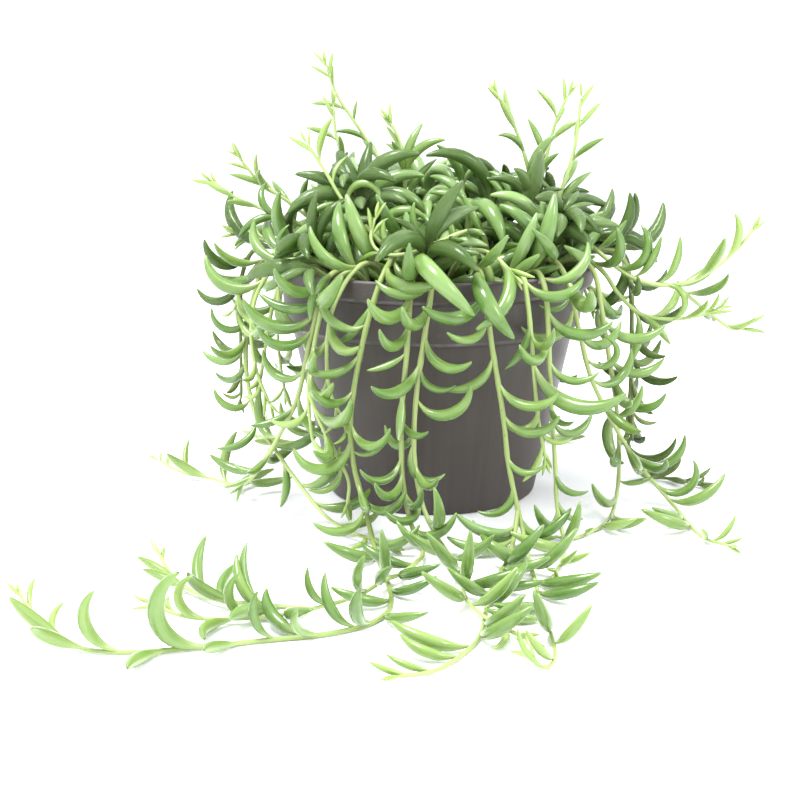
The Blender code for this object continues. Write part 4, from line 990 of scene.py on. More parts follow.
def plan_leaves(stems):
    """The leaves that stand out, then the others by one rule, with a seed for each stem."""
    layout = Layout(stems)
    chosen = {}
    for stem in stems:
        if stem.parent is None:
            leaves = LEAVES.get(stem.node, ())
            chosen[id(stem)] = [along_mm for along_mm, *_ in leaves]
            for values in leaves:
                layout.grow_aimed(stem, *values, PLUMP if stem.kind == "mound" else SLIM)
    for number, stem in enumerate(stems):
        first = FIRST_ON_BRANCH if stem.parent is not None else FIRST_LEAF
        rng = random.Random(SEED * 1000 + number)
        layout.grow_by_rule(stem, first, rng, chosen.get(id(stem), ()))
    return layout


# The pot's and the soil's finer forms
POT_STEPS = 120
EDGE_ROUND = 0.9
# Width of the pot's pale edges, partly worn and partly a painted edge highlight
WORN_AND_HIGHLIT_EDGE = 0.9
SCRATCH = (0.039, -0.052, 0.0928)
SOIL_RINGS = 30
LUMP_SCALE = 90.0
LUMPS = ((1.0, 1.6), (3.1, 0.9), (8.0, 0.5))  # how fine and how high each layer is
LUMP_EDGE = 4.0
SUNK = 0.4
CRUMBS = 420
CRUMB_OFF = 2.5
CRUMB_SIZES = (0.5, 1.7)
CRUMB_FLAT = 0.7
CRUMB_UNEVEN = 0.35
CRUMB_UP = 0.4
CRUMB_GRAIN = 900
CRUMB_SHIFT = 4000  # carries each crumb to its own place in the noise
# A corner's arc takes at most this share of each of its sides
ARC_SHARE = 0.45
# Points this near the soil's level belong to its top
LEVEL = 0.01

# The photograph's camera, the floor, the surround's brightness, how much brighter than on screen the studio
# shows a colour, and each light's place, size and power
CAMERA_PLACE = (0.0, -0.541, 0.164)
CAMERA_LENS = 60.66
CAMERA_DIP = 13.3
CAMERA_TURN = 1.4
FLOOR_SIZE = 60.0
SURROUND = 1.75
STUDIO_GAIN = 1.55
LIGHTS = (
    ("overhead", (-0.3, -0.35, 1.2), 0.45, 21.0),
    ("side", (0.85, -0.6, 0.75), 0.35, 5.0),
)

# Fine stems: how small their last ring is, how much they swell at a leaf, and from where on they are old
STEM_STEP = 2.0
STEM_SIDES = 6
TIP_CLOSE = 0.35
NODE_SWELL = 0.16
NODE_REACH = 1.7
OLD_REACH = 150.0

# Fine leaves: where their rings stand, as shares of their length, and how much wider the cage is
CAGE_SIDES = 6
CAGE_SHARES = (0.0, 0.05, 0.14, 0.27, 0.41, 0.55, 0.69, 0.82, 0.93, 1.0)
CAGE_SWELL = 1.07
LOWEST = 0.1
THICKEST = 3.8
FOOT_RUN = 0.1  # how far the foot runs back along the stem, as a share of the length
LONGEST_RUN = 2.5
FOOT_SHARE = 0.22
POINT_SHARE = 0.36  # how much narrower the point is than on the solid, from POINT_START on
POINT_START = 0.6
MORE_HOOK = (1.9, 1.6, 1.25)  # by how much they hook more than the solid, where there is room
LARGE_HOOK = 125.0
LARGE_LEAF = 30.0
MOST_SHIFT = 0.9  # how far one may move to meet its fine stem

# More leaves than the solids hold: how near they come to others and to their own stem's, and how hard each
# one is tried for
SPARE_GAP = 0.12
SPARE_OWN_GAP = -0.25
SPARE_TRIES = 150
SPARE_SCALE = 0.75
# Their length, half width as a share of it, spacing, and how far back from the tip they are smaller: in the
# mound, over the rim, further on and on the shoots
MOUND_FILL = (33.0, 0.115, 3.4, 12.0)
RIM_FILL = (29.0, 0.108, 11.0, 30.0)
STEM_FILL = (24.0, 0.096, 11.0, 48.0)
SHOOT_FILL = (18.0, 0.096, 9.0, 48.0)
RIM_REACH = 52.0
# Large leaves over the front of the rim, listed as LEAVES, and how far they may press on their neighbours
FRONT_LEAVES = {"trailing_stem_long": [(56, -45, 37, 105)], "trailing_stem_front_3": [(38, -60, 30, 90)]}
FRONT_GAP = -4.2

# Tufts between the solid ones: how many, how far out, and their height in the middle and at the edge
TUFT_COUNT = 34
TUFT_REACH = 53.0
CROWN_HEIGHT = 44.0
EDGE_HEIGHT = 17.0
HEIGHT_SPREAD = 4.0
FIRST_BEARING = 20.0
LEAN_OUT = (4.0, 10.0)  # in the middle, and what is added at the edge
LEAN_SPREAD = 6.0
LEANED = 0.35  # how far one has leaned and risen halfway along
RISEN = 0.55
SPARE_TIP_R = 0.7
TUFT_GAP = 0.2
TUFT_TRIES = 12
STEP_ASIDE = 2.0

# Leaves round a growing tip: how far back each grows, its length and its angle from the stem
TIP_LEAVES = ((0.4, 6.0, 6.0), (2.0, 8.0, 12.0), (5.0, 11.0, 18.0))
TIP_SPREAD = 15.0
TIP_SIZES = (0.85, 1.15)
TIP_BENDS = (8, 26)

# Further stems down the sides: bearing from +X, how far each hangs, then how far and on which bearing it
# runs along the floor. One that finds no free place is left out.
SPARE_STEMS = (
    (183, 66, 0, 0), (192, 92, 24, 208), (210, 92, 16, 222),
    (-4, 72, 0, 0), (9, 92, 22, -22), (231, 84, 0, 0),
)
BEARING_SPREAD = 7.0
OUT_RANGE = (1.0, 1.16)
DROP_RANGE = (0.9, 1)

# How ripe a leaf looks, from 0 when young to 1 when old. The pairs for a shoot and a stem are the ripeness
# at the tip and the reach over which it grows by 1. The foot's is what is added there and how far up.
LARGE_RIPE = 0.6
MOUND_RIPE = (0.6, 0.4)
MOST_RIPE = 0.5
SHOOT_RIPE = (0.04, 90.0)
STEM_RIPE = (0.1, 190.0)
FOOT_RIPE = (0.35, 60.0)


def leaf_cage():
    """One straight leaf of few faces: ring shares along it, turns round it and faces."""
    bpy.ops.object.select_all(action="DESELECT")
    rings = len(CAGE_SHARES) - 1
    bpy.ops.mesh.primitive_uv_sphere_add(segments=CAGE_SIDES, ring_count=rings, radius=1.0)
    ball = bpy.context.active_object
    co = np.array([v.co for v in ball.data.vertices], float)
    ring = np.round(rings - rings * np.arccos(np.clip(co[:, 2], -1, 1)) / math.pi).astype(int)
    along = np.array(CAGE_SHARES)[ring]
    turn = np.arctan2(co[:, 1], co[:, 0])
    faces = [tuple(p.vertices) for p in ball.data.polygons]
    bpy.data.objects.remove(ball)
    return along, turn, faces


def fine_width(t):
    """Half width of a fine leaf, as leaf_width() but with a longer point."""
    narrower = POINT_SHARE * np.clip((t - POINT_START) / (1 - POINT_START), 0, 1) ** 1.5
    return leaf_width(t) * (1 - narrower)


def hooked(arc, share):
    """An arc between the same ends, bent by more."""
    root, along, out, start, bend, length = arc
    half = math.radians(bend / 2)
    more = half * share
    reach = length * math.sin(half) / half
    return root, along, out, start - (share - 1) * bend / 2, bend * share, reach * more / math.sin(more)


def freely_hooked(arc, half_width):
    """The arc bent by more, as far as its leaf stays clear of pot, soil and floor."""
    steps = np.array(CAGE_SHARES[2:])
    width = fine_width(steps) * half_width * CAGE_SWELL
    for share in MORE_HOOK if arc[-1] > LARGE_LEAF else MORE_HOOK[-1:]:
        if arc[4] * share < LARGE_HOOK or share == MORE_HOOK[-1]:
            more = hooked(arc, share)
            line = leaf_line(*more, steps)
            if (body_gap(line)[0] > width).all() and (line[:, 2] > width).all():
                return more
    return arc


def fine_path(stem):
    """The stem's smooth centre line, the distance along it and its radii."""
    pts = stem.points
    path = smooth_path([2 * pts[0] - pts[1]] + list(pts), STEM_STEP)
    along = lengths_along(path)
    return path, along, stem.radii(along)


def carried_sides(path):
    """Two directions across a path at each of its points, carried on without twist."""
    ahead = directions(path)
    side = unit(np.cross(ahead[0], [0.31, 0.17, 0.93]))
    sides = []
    for direction in ahead:
        side = unit(side - (side @ direction) * direction)
        sides.append(side)
    sides = np.array(sides)
    return sides, np.cross(ahead, sides)


def added(name, data):
    """A new object in the scene, at the origin."""
    thing = bpy.data.objects.new(name, data)
    bpy.context.scene.collection.objects.link(thing)
    return thing


class Growth:
    """Gathers the vertices, faces, UVs and tints of one piece.

    A tint is tone, age, the shade of the tip and 1. A face's kind is 0 on a leaf and 1 on a stem.
    """

    def __init__(self):
        self.places = []
        self.tints = []
        self.faces = []
        self.uvs = []
        self.kinds = []
        self.total = 0

    def add(self, places, tint, faces, uv, kind):
        """uv is a function from a face's own vertex numbers to its corners' UVs."""
        places[:, 2] = np.maximum(places[:, 2], LOWEST)
        self.places.append(places)
        self.tints.append(tint)
        for face in faces:
            self.faces.append([i + self.total for i in face])
            self.uvs += uv(face)
            self.kinds.append(kind)
        self.total += len(places)

    def stem(self, stem, leaf_places, tone):
        """Adds a stem that swells a little at each leaf."""
        path, along, radii = fine_path(stem)
        for place in leaf_places:
            radii = radii * (1 + NODE_SWELL * np.exp(-((along - place) / NODE_REACH) ** 2))
        radii = radii * CAGE_SWELL
        radii[-1] *= TIP_CLOSE
        side, across = carried_sides(path)
        turns = np.linspace(0, math.tau, STEM_SIDES, endpoint=False)
        rings = path[:, None] + radii[:, None, None] * (
            np.cos(turns)[None, :, None] * side[:, None] + np.sin(turns)[None, :, None] * across[:, None]
        )
        n = len(path)
        faces = []
        for k in range(n - 1):
            for j in range(STEM_SIDES):
                a, b = k * STEM_SIDES + j, k * STEM_SIDES + (j + 1) % STEM_SIDES
                faces.append((a, b, b + STEM_SIDES, a + STEM_SIDES))
        faces.append(tuple(range(STEM_SIDES))[::-1])
        faces.append(tuple((n - 1) * STEM_SIDES + j for j in range(STEM_SIDES)))
        age = np.clip((along[-1] - along) / OLD_REACH, 0, 1)
        tint = np.column_stack([np.full(n, tone), age, np.zeros(n), np.ones(n)])

        def uv(face):
            spots = []
            for i in face:
                k, j = divmod(i, STEM_SIDES)
                if j == 0 and any(m % STEM_SIDES == STEM_SIDES - 1 for m in face):
                    j = STEM_SIDES
                spots.append((j / STEM_SIDES, along[k] / 10.0))
            return spots

        self.add(rings.reshape(-1, 3), np.repeat(tint, STEM_SIDES, axis=0), faces, uv, 1)

    def leaf(self, leaf, cage, shift, ripe):
        """Adds a leaf: the cage bent along its arc, whose foot runs back along the stem."""
        t, turn, faces = cage
        half_width = min(leaf.half_width, THICKEST)
        root, along, out, *bent = freely_hooked(leaf.arc, half_width)
        across = unit(np.cross(along, out))
        steps, where = np.unique(t, return_inverse=True)
        line = leaf_line(root + shift, along, out, *bent, steps)
        back = np.clip(1 - steps / FOOT_SHARE, 0, 1) ** 2 * min(bent[-1] * FOOT_RUN, LONGEST_RUN)
        line -= back[:, None] * along
        inward = np.cross(across, directions(line))
        width = (fine_width(steps) * half_width * CAGE_SWELL)[where, None]
        places = line[where] + width * (
            leaf.flatness * np.cos(turn)[:, None] * inward[where] + np.sin(turn)[:, None] * across
        )
        tint = np.tile([leaf.tone, ripe, leaf.tip_shade, 1.0], (len(t), 1))

        def uv(face):
            turns = np.array([turn[i] for i in face]) / math.tau % 1.0
            if turns.max() - turns.min() > 0.5:
                turns = np.where(turns < 0.5, turns + 1.0, turns)
            poles = [i for i, v in enumerate(face) if t[v] < 1e-4 or t[v] > 1 - 1e-4]
            for i in poles:
                turns[i] = np.delete(turns, i).mean()
            return [(u, t[v]) for u, v in zip(turns, face)]

        self.add(places, tint, faces, uv, 0)

    def make(self, name, materials):
        """The finished piece, smoothed once."""
        mesh = bpy.data.meshes.new(name)
        places = np.vstack(self.places) * MM
        mesh.from_pydata(places.tolist(), [], self.faces)
        mesh.polygons.foreach_set("material_index", self.kinds)
        uv = mesh.uv_layers.new(name="grain")
        uv.data.foreach_set("uv", np.array(self.uvs, np.float32).ravel())
        tint = mesh.color_attributes.new("tint", "FLOAT_COLOR", "POINT")
        tint.data.foreach_set("color", np.vstack(self.tints).astype(np.float32).ravel())
        mesh.shade_smooth()
        for material in materials:
            mesh.materials.append(material)
        piece = added(name, mesh)
        smooth = piece.modifiers.new("smooth", "SUBSURF")
        smooth.levels = 1
        smooth.uv_smooth = "PRESERVE_BOUNDARIES"
        apply_modifier(piece, smooth)
        return piece


def apply_modifier(piece, modifier):
    """Makes what a modifier does the piece's own mesh."""
    bpy.ops.object.select_all(action="DESELECT")
    bpy.context.view_layer.objects.active = piece
    piece.select_set(True)
    bpy.ops.object.modifier_apply(modifier=modifier.name)
    piece.select_set(False)


def tone_of(red, green, blue):
    """The linear colour that looks like a screen colour, 0 to 255, in the bright studio."""
    shares = [c / 255 for c in (red, green, blue)]
    linear = [c / 12.92 if c < 0.04 else ((c + 0.055) / 1.055) ** 2.4 for c in shares]
    return tuple(c / STUDIO_GAIN for c in linear) + (1.0,)


class Finish:
    """A material under construction, with short calls for the nodes that the finishes share."""

    def __init__(self, name, roughness, specular=0.5):
        self.material = bpy.data.materials.new(name)
        self.material.use_nodes = True
        self.tree = self.material.node_tree
        self.shader = self.tree.nodes["Principled BSDF"]
        self.shader.inputs["Roughness"].default_value = roughness
        self.shader.inputs["Specular IOR Level"].default_value = specular

    def node(self, kind, values=(), **settings):
        """A node with its settings, its inputs in order set to numbers and colours or linked."""
        node = self.tree.nodes.new(kind)
        for key, value in settings.items():
            setattr(node, key, value)
        for name, value in values:
            if isinstance(value, (int, float, tuple)):
                node.inputs[name].default_value = value
            else:
                self.tree.links.new(value, node.inputs[name])
        return node

    def math(self, operation, a, b=0.5):
        return self.node("ShaderNodeMath", ((0, a), (1, b)), operation=operation).outputs[0]

    def times(self, a, b):
        return self.math("MULTIPLY", a, b)

    def off(self, a, b):
        """How far a is from b, either way."""
        return self.math("ABSOLUTE", self.math("SUBTRACT", a, b))

    def ramp(self, value, low, high, to_low=0.0, to_high=1.0):
        """Softly from one value to another as the first goes from low to high."""
        names = ("Value", "From Min", "From Max", "To Min", "To Max")
        values = zip(names, (value, low, high, to_low, to_high))
        return self.node("ShaderNodeMapRange", values, interpolation_type="SMOOTHSTEP").outputs["Result"]

    def mix(self, share, a, b, blend="MIX"):
        values = ((0, share), (6, a), (7, b))
        return self.node("ShaderNodeMix", values, data_type="RGBA", blend_type=blend).outputs[2]

    def shade(self, share, colour, by):
        """The colour times another one, as far as the share says."""
        return self.mix(share, colour, (*by, 1.0), "MULTIPLY")

    def combine(self, x, y, z):
        return self.node("ShaderNodeCombineXYZ", ((0, x), (1, y), (2, z))).outputs[0]

    def noise(self, vector, scale, detail=3.0, rough=0.5):
        return self.node("ShaderNodeTexNoise", (
            ("Vector", vector), ("Scale", scale), ("Detail", detail), ("Roughness", rough),
        )).outputs["Fac"]

    def place(self):
        return self.node("ShaderNodeTexCoord").outputs["Object"]

    def split(self, vector):
        return self.node("ShaderNodeSeparateXYZ", ((0, vector),)).outputs

    def grain(self):
        """Place round and along a leaf or stem."""
        return self.split(self.node("ShaderNodeUVMap", uv_map="grain").outputs["UV"])

    def tint(self):
        attribute = self.node("ShaderNodeAttribute", attribute_name="tint")
        return self.node("ShaderNodeSeparateColor", ((0, attribute.outputs["Color"]),)).outputs

    def set(self, **values):
        """Links outputs to the shader, or sets its numbers and colours."""
        for name, value in values.items():
            socket = self.shader.inputs[name.replace("_", " ")]
            if isinstance(value, (int, float, tuple)):
                socket.default_value = value
            else:
                self.tree.links.new(value, socket)

    def bump(self, height, strength, distance):
        values = (("Strength", strength), ("Distance", distance), ("Height", height))
        self.set(Normal=self.node("ShaderNodeBump", values).outputs["Normal"])


def ridges_of(finish, around, along, tone, count, stretch):
    """Fine lines that run along a leaf or a stem, different on each one."""
    own = finish.times(tone, 41.0)
    spot = finish.combine(finish.times(around, count), finish.times(along, stretch), own)
    return finish.noise(spot, 1.0, 2.0)


def leaf_finish():
    """Fleshy green skin: yellower when young, darker with a little bloom on the mound, pale at the foot.
    Painted shade darkens each leaf's belly and a painted rim light brightens its upper side.
    """
    leaf = Finish("leaf_skin", 0.25)
    around, along, _ = leaf.grain()
    tone, ripe, tip_shade = list(leaf.tint())[:3]
    place = leaf.place()
    young = leaf.mix(tone, tone_of(178, 208, 104), tone_of(202, 226, 132))
    grown = leaf.mix(tone, tone_of(100, 142, 54), tone_of(136, 172, 82))
    old = leaf.mix(tone, tone_of(132, 172, 88), tone_of(172, 206, 130))
    colour = leaf.mix(leaf.ramp(ripe, 0.0, 0.45), young, grown)
    colour = leaf.mix(leaf.ramp(ripe, 0.45, 1.0), colour, old)
    off_belly = leaf.off(leaf.math("FRACT", around), 0.5)
    # Painted shade: each leaf's convex belly is darkened, more on the younger leaves than on the mound.
    painted_belly_shade = leaf.times(leaf.ramp(off_belly, 0.02, 0.3, 1.0, 0.0), leaf.ramp(ripe, 0.5, 0.8, 0.85, 0.5))
    colour = leaf.shade(painted_belly_shade, colour, (0.6, 0.7, 0.48))
    # Painted rim light: the concave upper side of each leaf is made paler.
    colour = leaf.mix(leaf.ramp(off_belly, 0.4, 0.5, 0.0, 0.4), colour, tone_of(190, 214, 146))
    ridges = ridges_of(leaf, around, along, tone, 26.0, 1.6)
    colour = leaf.shade(leaf.ramp(ridges, 0.35, 0.7, 0.0, 0.32), colour, (0.68, 0.8, 0.56))
    blotches = leaf.ramp(leaf.noise(place, 140.0), 0.35, 0.75, 0.0, 0.2)
    colour = leaf.mix(blotches, colour, tone_of(176, 204, 128))
    clouds = leaf.ramp(leaf.noise(place, 60.0, 2.0), 0.4, 0.72, 0.0, 0.45)
    bloom = leaf.times(leaf.ramp(ripe, 0.6, 1.0), clouds)
    colour = leaf.mix(bloom, colour, tone_of(176, 200, 160))
    colour = leaf.mix(leaf.ramp(along, 0.02, 0.3, 0.75, 0.0), colour, tone_of(196, 216, 140))
    tip = leaf.times(leaf.ramp(along, 0.94, 0.99), leaf.ramp(tip_shade, 0.4, 0.7))
    colour = leaf.mix(tip, colour, tone_of(112, 96, 74))
    leaf.set(Base_Color=colour, Roughness=leaf.ramp(bloom, 0.0, 0.4, 0.25, 0.38),
             Coat_Weight=0.35, Coat_Roughness=0.12,
             Subsurface_Weight=0.14, Subsurface_Radius=(0.5, 1.0, 0.25), Subsurface_Scale=0.0015)
    leaf.bump(ridges, 0.12, 0.0003)
    return leaf.material


def stem_finish():
    """Pale green stem, ridged along its length, browner and speckled towards its foot."""
    stem = Finish("stem_skin", 0.42, 0.45)
    around, along, _ = stem.grain()
    tone, age = list(stem.tint())[:2]
    fresh = stem.mix(tone, tone_of(180, 206, 122), tone_of(202, 222, 146))
    old = stem.mix(tone, tone_of(148, 168, 94), tone_of(170, 184, 114))
    colour = stem.mix(stem.ramp(age, 0.45, 1.0, 0.0, 0.6), fresh, old)
    ridges = ridges_of(stem, around, along, tone, 16.0, 0.7)
    colour = stem.shade(stem.ramp(ridges, 0.35, 0.7, 0.0, 0.28), colour, (0.7, 0.78, 0.58))
    dots = stem.ramp(stem.noise(stem.place(), 700.0, 3.0, 0.7), 0.62, 0.74)
    specks = stem.times(dots, stem.ramp(age, 0.2, 1.0, 0.05, 0.6))
    colour = stem.mix(specks, colour, tone_of(128, 98, 66))
    stem.set(Base_Color=colour,
             Subsurface_Weight=0.1, Subsurface_Radius=(0.5, 1.0, 0.25), Subsurface_Scale=0.001)
    stem.bump(ridges, 0.25, 0.0003)
    return stem.material


def pot_finish():
    """Dark taupe moulded plastic with soft upright streaks, edges paler from wear and from a painted
    highlight, dust and a small scratch.
    """
    pot = Finish("pot_plastic", 0.5, 0.45)
    place = pot.place()
    x, y, z = pot.split(place)
    upright = pot.combine(pot.times(pot.math("ARCTAN2", y, x), 14.0), pot.times(z, 9.0), 0.0)
    streaks = pot.noise(upright, 1.0, 4.0, 0.6)
    cloud = pot.noise(place, 26.0)
    colour = pot.mix(pot.ramp(streaks, 0.3, 0.7), tone_of(76, 67, 64), tone_of(84, 76, 72))
    colour = pot.mix(pot.ramp(cloud, 0.35, 0.75, 0.0, 0.4), colour, tone_of(82, 72, 72))
    # Pale lines at the step edges and the rim: partly wear, partly a painted edge highlight.
    wear_and_painted_glint = pot.noise(place, 48.0, 5.0, 0.65)
    for edge in (BAND_Z + STEP_RISE, LIP_Z + STEP_RISE, POT_HEIGHT):
        line = pot.ramp(pot.off(z, edge * MM), WORN_AND_HIGHLIT_EDGE * MM / 2, WORN_AND_HIGHLIT_EDGE * MM, 1.0, 0.0)
        worn_and_painted_highlight = pot.times(line, pot.ramp(wear_and_painted_glint, 0.42, 0.66, 0.12, 0.75))
        colour = pot.mix(worn_and_painted_highlight, colour, tone_of(150, 144, 148))
    specks = pot.ramp(pot.noise(place, 180.0, 5.0, 0.7), 0.55, 0.8)
    dust = pot.times(pot.ramp(z, 0.05, 0.094, 0.0, 0.35), specks)
    colour = pot.mix(dust, colour, tone_of(140, 132, 126))
    scratch = pot.node("ShaderNodeVectorMath", ((0, place), (1, SCRATCH)), operation="DISTANCE")
    scratched = pot.ramp(scratch.outputs["Value"], 0.0004, 0.0009, 0.9, 0.0)
    colour = pot.mix(scratched, colour, tone_of(226, 224, 222))
    pot.set(Base_Color=colour, Roughness=pot.ramp(cloud, 0.3, 0.7, 0.44, 0.56))
    pot.bump(pot.noise(place, 2600.0, 2.0), 0.06, 0.0002)
    return pot.material


def soil_finish():
    """Dark peat with paler bits."""
    soil = Finish("potting_soil", 0.95, 0.2)
    place = soil.place()
    crumbs = soil.noise(place, 420.0, 6.0, 0.7)
    colour = soil.mix(soil.ramp(crumbs, 0.35, 0.7), tone_of(34, 26, 22), tone_of(74, 58, 46))
    patches = soil.ramp(soil.noise(place, 70.0, 4.0), 0.5, 0.8, 0.0, 0.6)
    colour = soil.mix(patches, colour, tone_of(52, 42, 34))
    bits = soil.ramp(soil.noise(place, 900.0, 2.0), 0.7, 0.76, 0.0, 0.6)
    soil.set(Base_Color=soil.mix(bits, colour, tone_of(150, 126, 96)))
    soil.bump(crumbs, 0.8, 0.001)
    return soil.material


def floor_finish():
    paper = Finish("white_paper", 0.9, 0.1)
    shade = paper.ramp(paper.noise(paper.place(), 3.0, 2.0), 0.3, 0.7)
    paper.set(Base_Color=paper.mix(shade, (0.94, 0.955, 0.975, 1.0), (0.965, 0.975, 0.985, 1.0)))
    return paper.material


def growing_tip(layout, stem, rng):
    """Young leaves close together round a stem's tip, pointing forwards."""
    total = stem.lengths()[-1]
    taken = [leaf.along_mm for leaf in layout.leaves if leaf.stem is stem]
    spiral = rng.uniform(0, 360)
    for from_tip, length, start in TIP_LEAVES:
        along_mm = total - from_tip
        if all(abs(along_mm - other) > TIP_CLEAR for other in taken):
            _, along = stem.at(along_mm)
            spiral += GOLDEN_ANGLE + rng.uniform(-TIP_SPREAD, TIP_SPREAD)
            toward = turned(side_of(along, (0.2, 0.1, 1.0)), along, spiral)
            size = length * rng.uniform(*TIP_SIZES)
            layout.grow_leaf(stem, along_mm, toward, start, rng.uniform(*TIP_BENDS), size, SLIM)


def drawn_pair(rng, spread):
    """Two random lengths, each up to spread either way."""
    return np.array([rng.uniform(-spread, spread), rng.uniform(-spread, spread)])


def spare_tufts(layout, rng):
    """Short leafy stems between the others, in a sunflower's pattern over the soil."""
    tufts = []
    for k in range(TUFT_COUNT):
        reach = TUFT_REACH * math.sqrt((k + 0.5) / TUFT_COUNT)
        bearing = math.radians(k * GOLDEN_ANGLE + FIRST_BEARING)
        foot = np.array([reach * math.cos(bearing), reach * math.sin(bearing)])
        share = reach / TUFT_REACH
        height = CROWN_HEIGHT + (EDGE_HEIGHT - CROWN_HEIGHT) * share**2
        height += rng.uniform(-HEIGHT_SPREAD, HEIGHT_SPREAD)
        outward = foot / reach * partly(LEAN_OUT, share)
        for _ in range(TUFT_TRIES):
            lean = outward + drawn_pair(rng, LEAN_SPREAD)
            tip = (*(foot + lean), SOIL_Z + height)
            middle = (*(foot + lean * LEANED), SOIL_Z + height * RISEN)
            tuft = Stem(f"mound_thicket_{k % 3 + 1}", [foot, middle, tip], tip_r=SPARE_TIP_R)
            tuft.decimate()
            if layout.room_round(tuft, 1) > TUFT_GAP:
                layout.add_stem(tuft)
                tufts.append(tuft)
                break
            foot = foot + drawn_pair(rng, STEP_ASIDE)
    return tufts


def spare_stems(layout, rng):
    """More stems over the rim at the left and right, each moved about until it is clear of the others."""
    clear_ones = []
    for number, (bearing, drop, run, run_bearing) in enumerate(SPARE_STEMS, 1):
        for _ in range(SPARE_TRIES):
            turn, out = rng.uniform(-BEARING_SPREAD, BEARING_SPREAD), rng.uniform(*OUT_RANGE)
            length = drop if run else drop * rng.uniform(*DROP_RANGE)
            route = back_route(bearing + turn, length, run, run_bearing)
            route = route[:2] + [(x * out, y * out, z) for x, y, z in route[2:]]
            stem = Stem(f"trailing_spare_{number}", route)
            stem.decimate()
            off_pot = (body_gap(stem.points[3:])[0] > stem.radii()[3:]).all()
            if off_pot and layout.room_round(stem, 2) > SPARE_GAP:
                layout.add_stem(stem)
                clear_ones.append(stem)
                break
    return clear_ones


def fill_in(layout, stems, rng):
    """More leaves wherever there is room: most on the mound, large ones over the rim, others further on."""
    for stem in stems:
        placed = [leaf.along_mm for leaf in layout.leaves if leaf.stem is stem]
        if stem.kind == "mound":
            layout.grow_by_rule(stem, ROOT_DEPTH + ROOT_RISE + 1, rng, habit=MOUND_FILL)
        elif stem.kind == "shoot":
            layout.grow_by_rule(stem, FIRST_LEAF, rng, placed, habit=SHOOT_FILL)
        else:
            over_rim = 0 if stem.parent is not None else RIM_REACH
            if over_rim:
                layout.grow_by_rule(stem, FIRST_LEAF, rng, placed, habit=RIM_FILL, last=over_rim)
            layout.grow_by_rule(stem, over_rim + FIRST_ON_BRANCH / 2, rng, placed, habit=STEM_FILL)


def ripeness(leaf):
    """0 for the young leaves near a tip, 1 for the old ones on the mound."""
    if leaf.stem.kind == "mound":
        return partly(MOUND_RIPE, leaf.tone)
    left = leaf.stem.lengths()[-1] - leaf.along_mm
    at_tip, reach = SHOOT_RIPE if leaf.stem.kind == "shoot" else STEM_RIPE
    ripe = min(MOST_RIPE, at_tip + left / reach)
    if leaf.stem.kind != "shoot":
        more, reach = FOOT_RIPE
        ripe += more * max(0.0, 1 - leaf.along_mm / reach)
    return max(ripe, LARGE_RIPE) if leaf.arc[-1] > LARGE_LEAF else ripe


def ride_along(piece, node=None):
    """Attaches a piece to the plant's body, and hides the solid that it takes the place of."""
    if node is not None:
        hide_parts(node)
    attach(piece, "root")


def grow_plant():
    """The solids' stems and leaves with all that is added to them: the layout and its stems."""
    stems = plan_stems()
    layout = plan_leaves(stems)
    layout.leaf_gap = FRONT_GAP
    for stem in stems:
        for values in FRONT_LEAVES.get(stem.node, ()) if stem.parent is None else ():
            layout.grow_aimed(stem, *values, PLUMP)
    layout.leaf_gap, layout.own_gap = SPARE_GAP, SPARE_OWN_GAP
    layout.tries, layout.least_scale = SPARE_TRIES, SPARE_SCALE
    rng = random.Random(SEED)
    for stem in stems:
        if stem.kind != "mound":
            growing_tip(layout, stem, rng)
    more = spare_tufts(layout, rng) + spare_stems(layout, rng)
    # The further stems are listed twice, so they are filled twice and their pieces hold each face twice
    stems = more + stems + more
    fill_in(layout, stems, rng)
    for stem in more:
        if stem.kind != "mound":
            growing_tip(layout, stem, rng)
    return layout, stems


def dress_plant():
    """Each node's stems with their leaves as one fine piece."""
    layout, stems = grow_plant()
    cage = leaf_cage()
    skins = (leaf_finish(), stem_finish())
    for name, kind in dict.fromkeys((s.node, s.kind) for s in stems):
        growth = Growth()
        for stem in (s for s in stems if s.node == name):
            mine = [leaf for leaf in layout.leaves if leaf.stem is stem]
            growth.stem(stem, [leaf.along_mm for leaf in mine], random.Random(name).random())
            path = fine_path(stem)[0]
            for leaf in mine:
                root = leaf.arc[0]
                shift = path[np.linalg.norm(path - root, axis=1).argmin()] - root
                shift *= min(1.0, MOST_SHIFT / max(np.linalg.norm(shift), 1e-6))
                growth.leaf(leaf, cage, shift, ripeness(leaf))
        known = name in frame["nodes"]
        piece = growth.make(name + ("_live" if known else "_leafy"), skins)
        ride_along(piece, name if known else None)


def turned_piece(name, profile, steps):
    """A closed piece turned round the Z axis. Its profile, in millimetres, ends down its outer side."""
    mesh = bpy.data.meshes.new(name)
    points = [(r * MM, 0.0, z * MM) for r, z in profile]
    mesh.from_pydata(points, [(i, i + 1) for i in range(len(points) - 1)], [])
    piece = added(name, mesh)
    turn = piece.modifiers.new("turn", "SCREW")
    turn.steps = steps
    turn.render_steps = steps
    turn.use_merge_vertices = True
    turn.merge_threshold = 0.00001
    apply_modifier(piece, turn)
    return piece


def rounded(profile, radius, arc_points=4):
    """A profile whose corners between its ends are small arcs."""
    pts = [np.array(p, float) for p in profile]
    out = [tuple(pts[0])]
    for before, corner, after in zip(pts, pts[1:], pts[2:]):
        a, b = before - corner, after - corner
        reach = min(radius, np.linalg.norm(a) * ARC_SHARE, np.linalg.norm(b) * ARC_SHARE)
        start, end = corner + unit(a) * reach, corner + unit(b) * reach
        for k in range(arc_points + 1):
            u = k / arc_points
            out.append(tuple(start * (1 - u) ** 2 + corner * 2 * u * (1 - u) + end * u**2))
    out.append(tuple(pts[-1]))
    return out


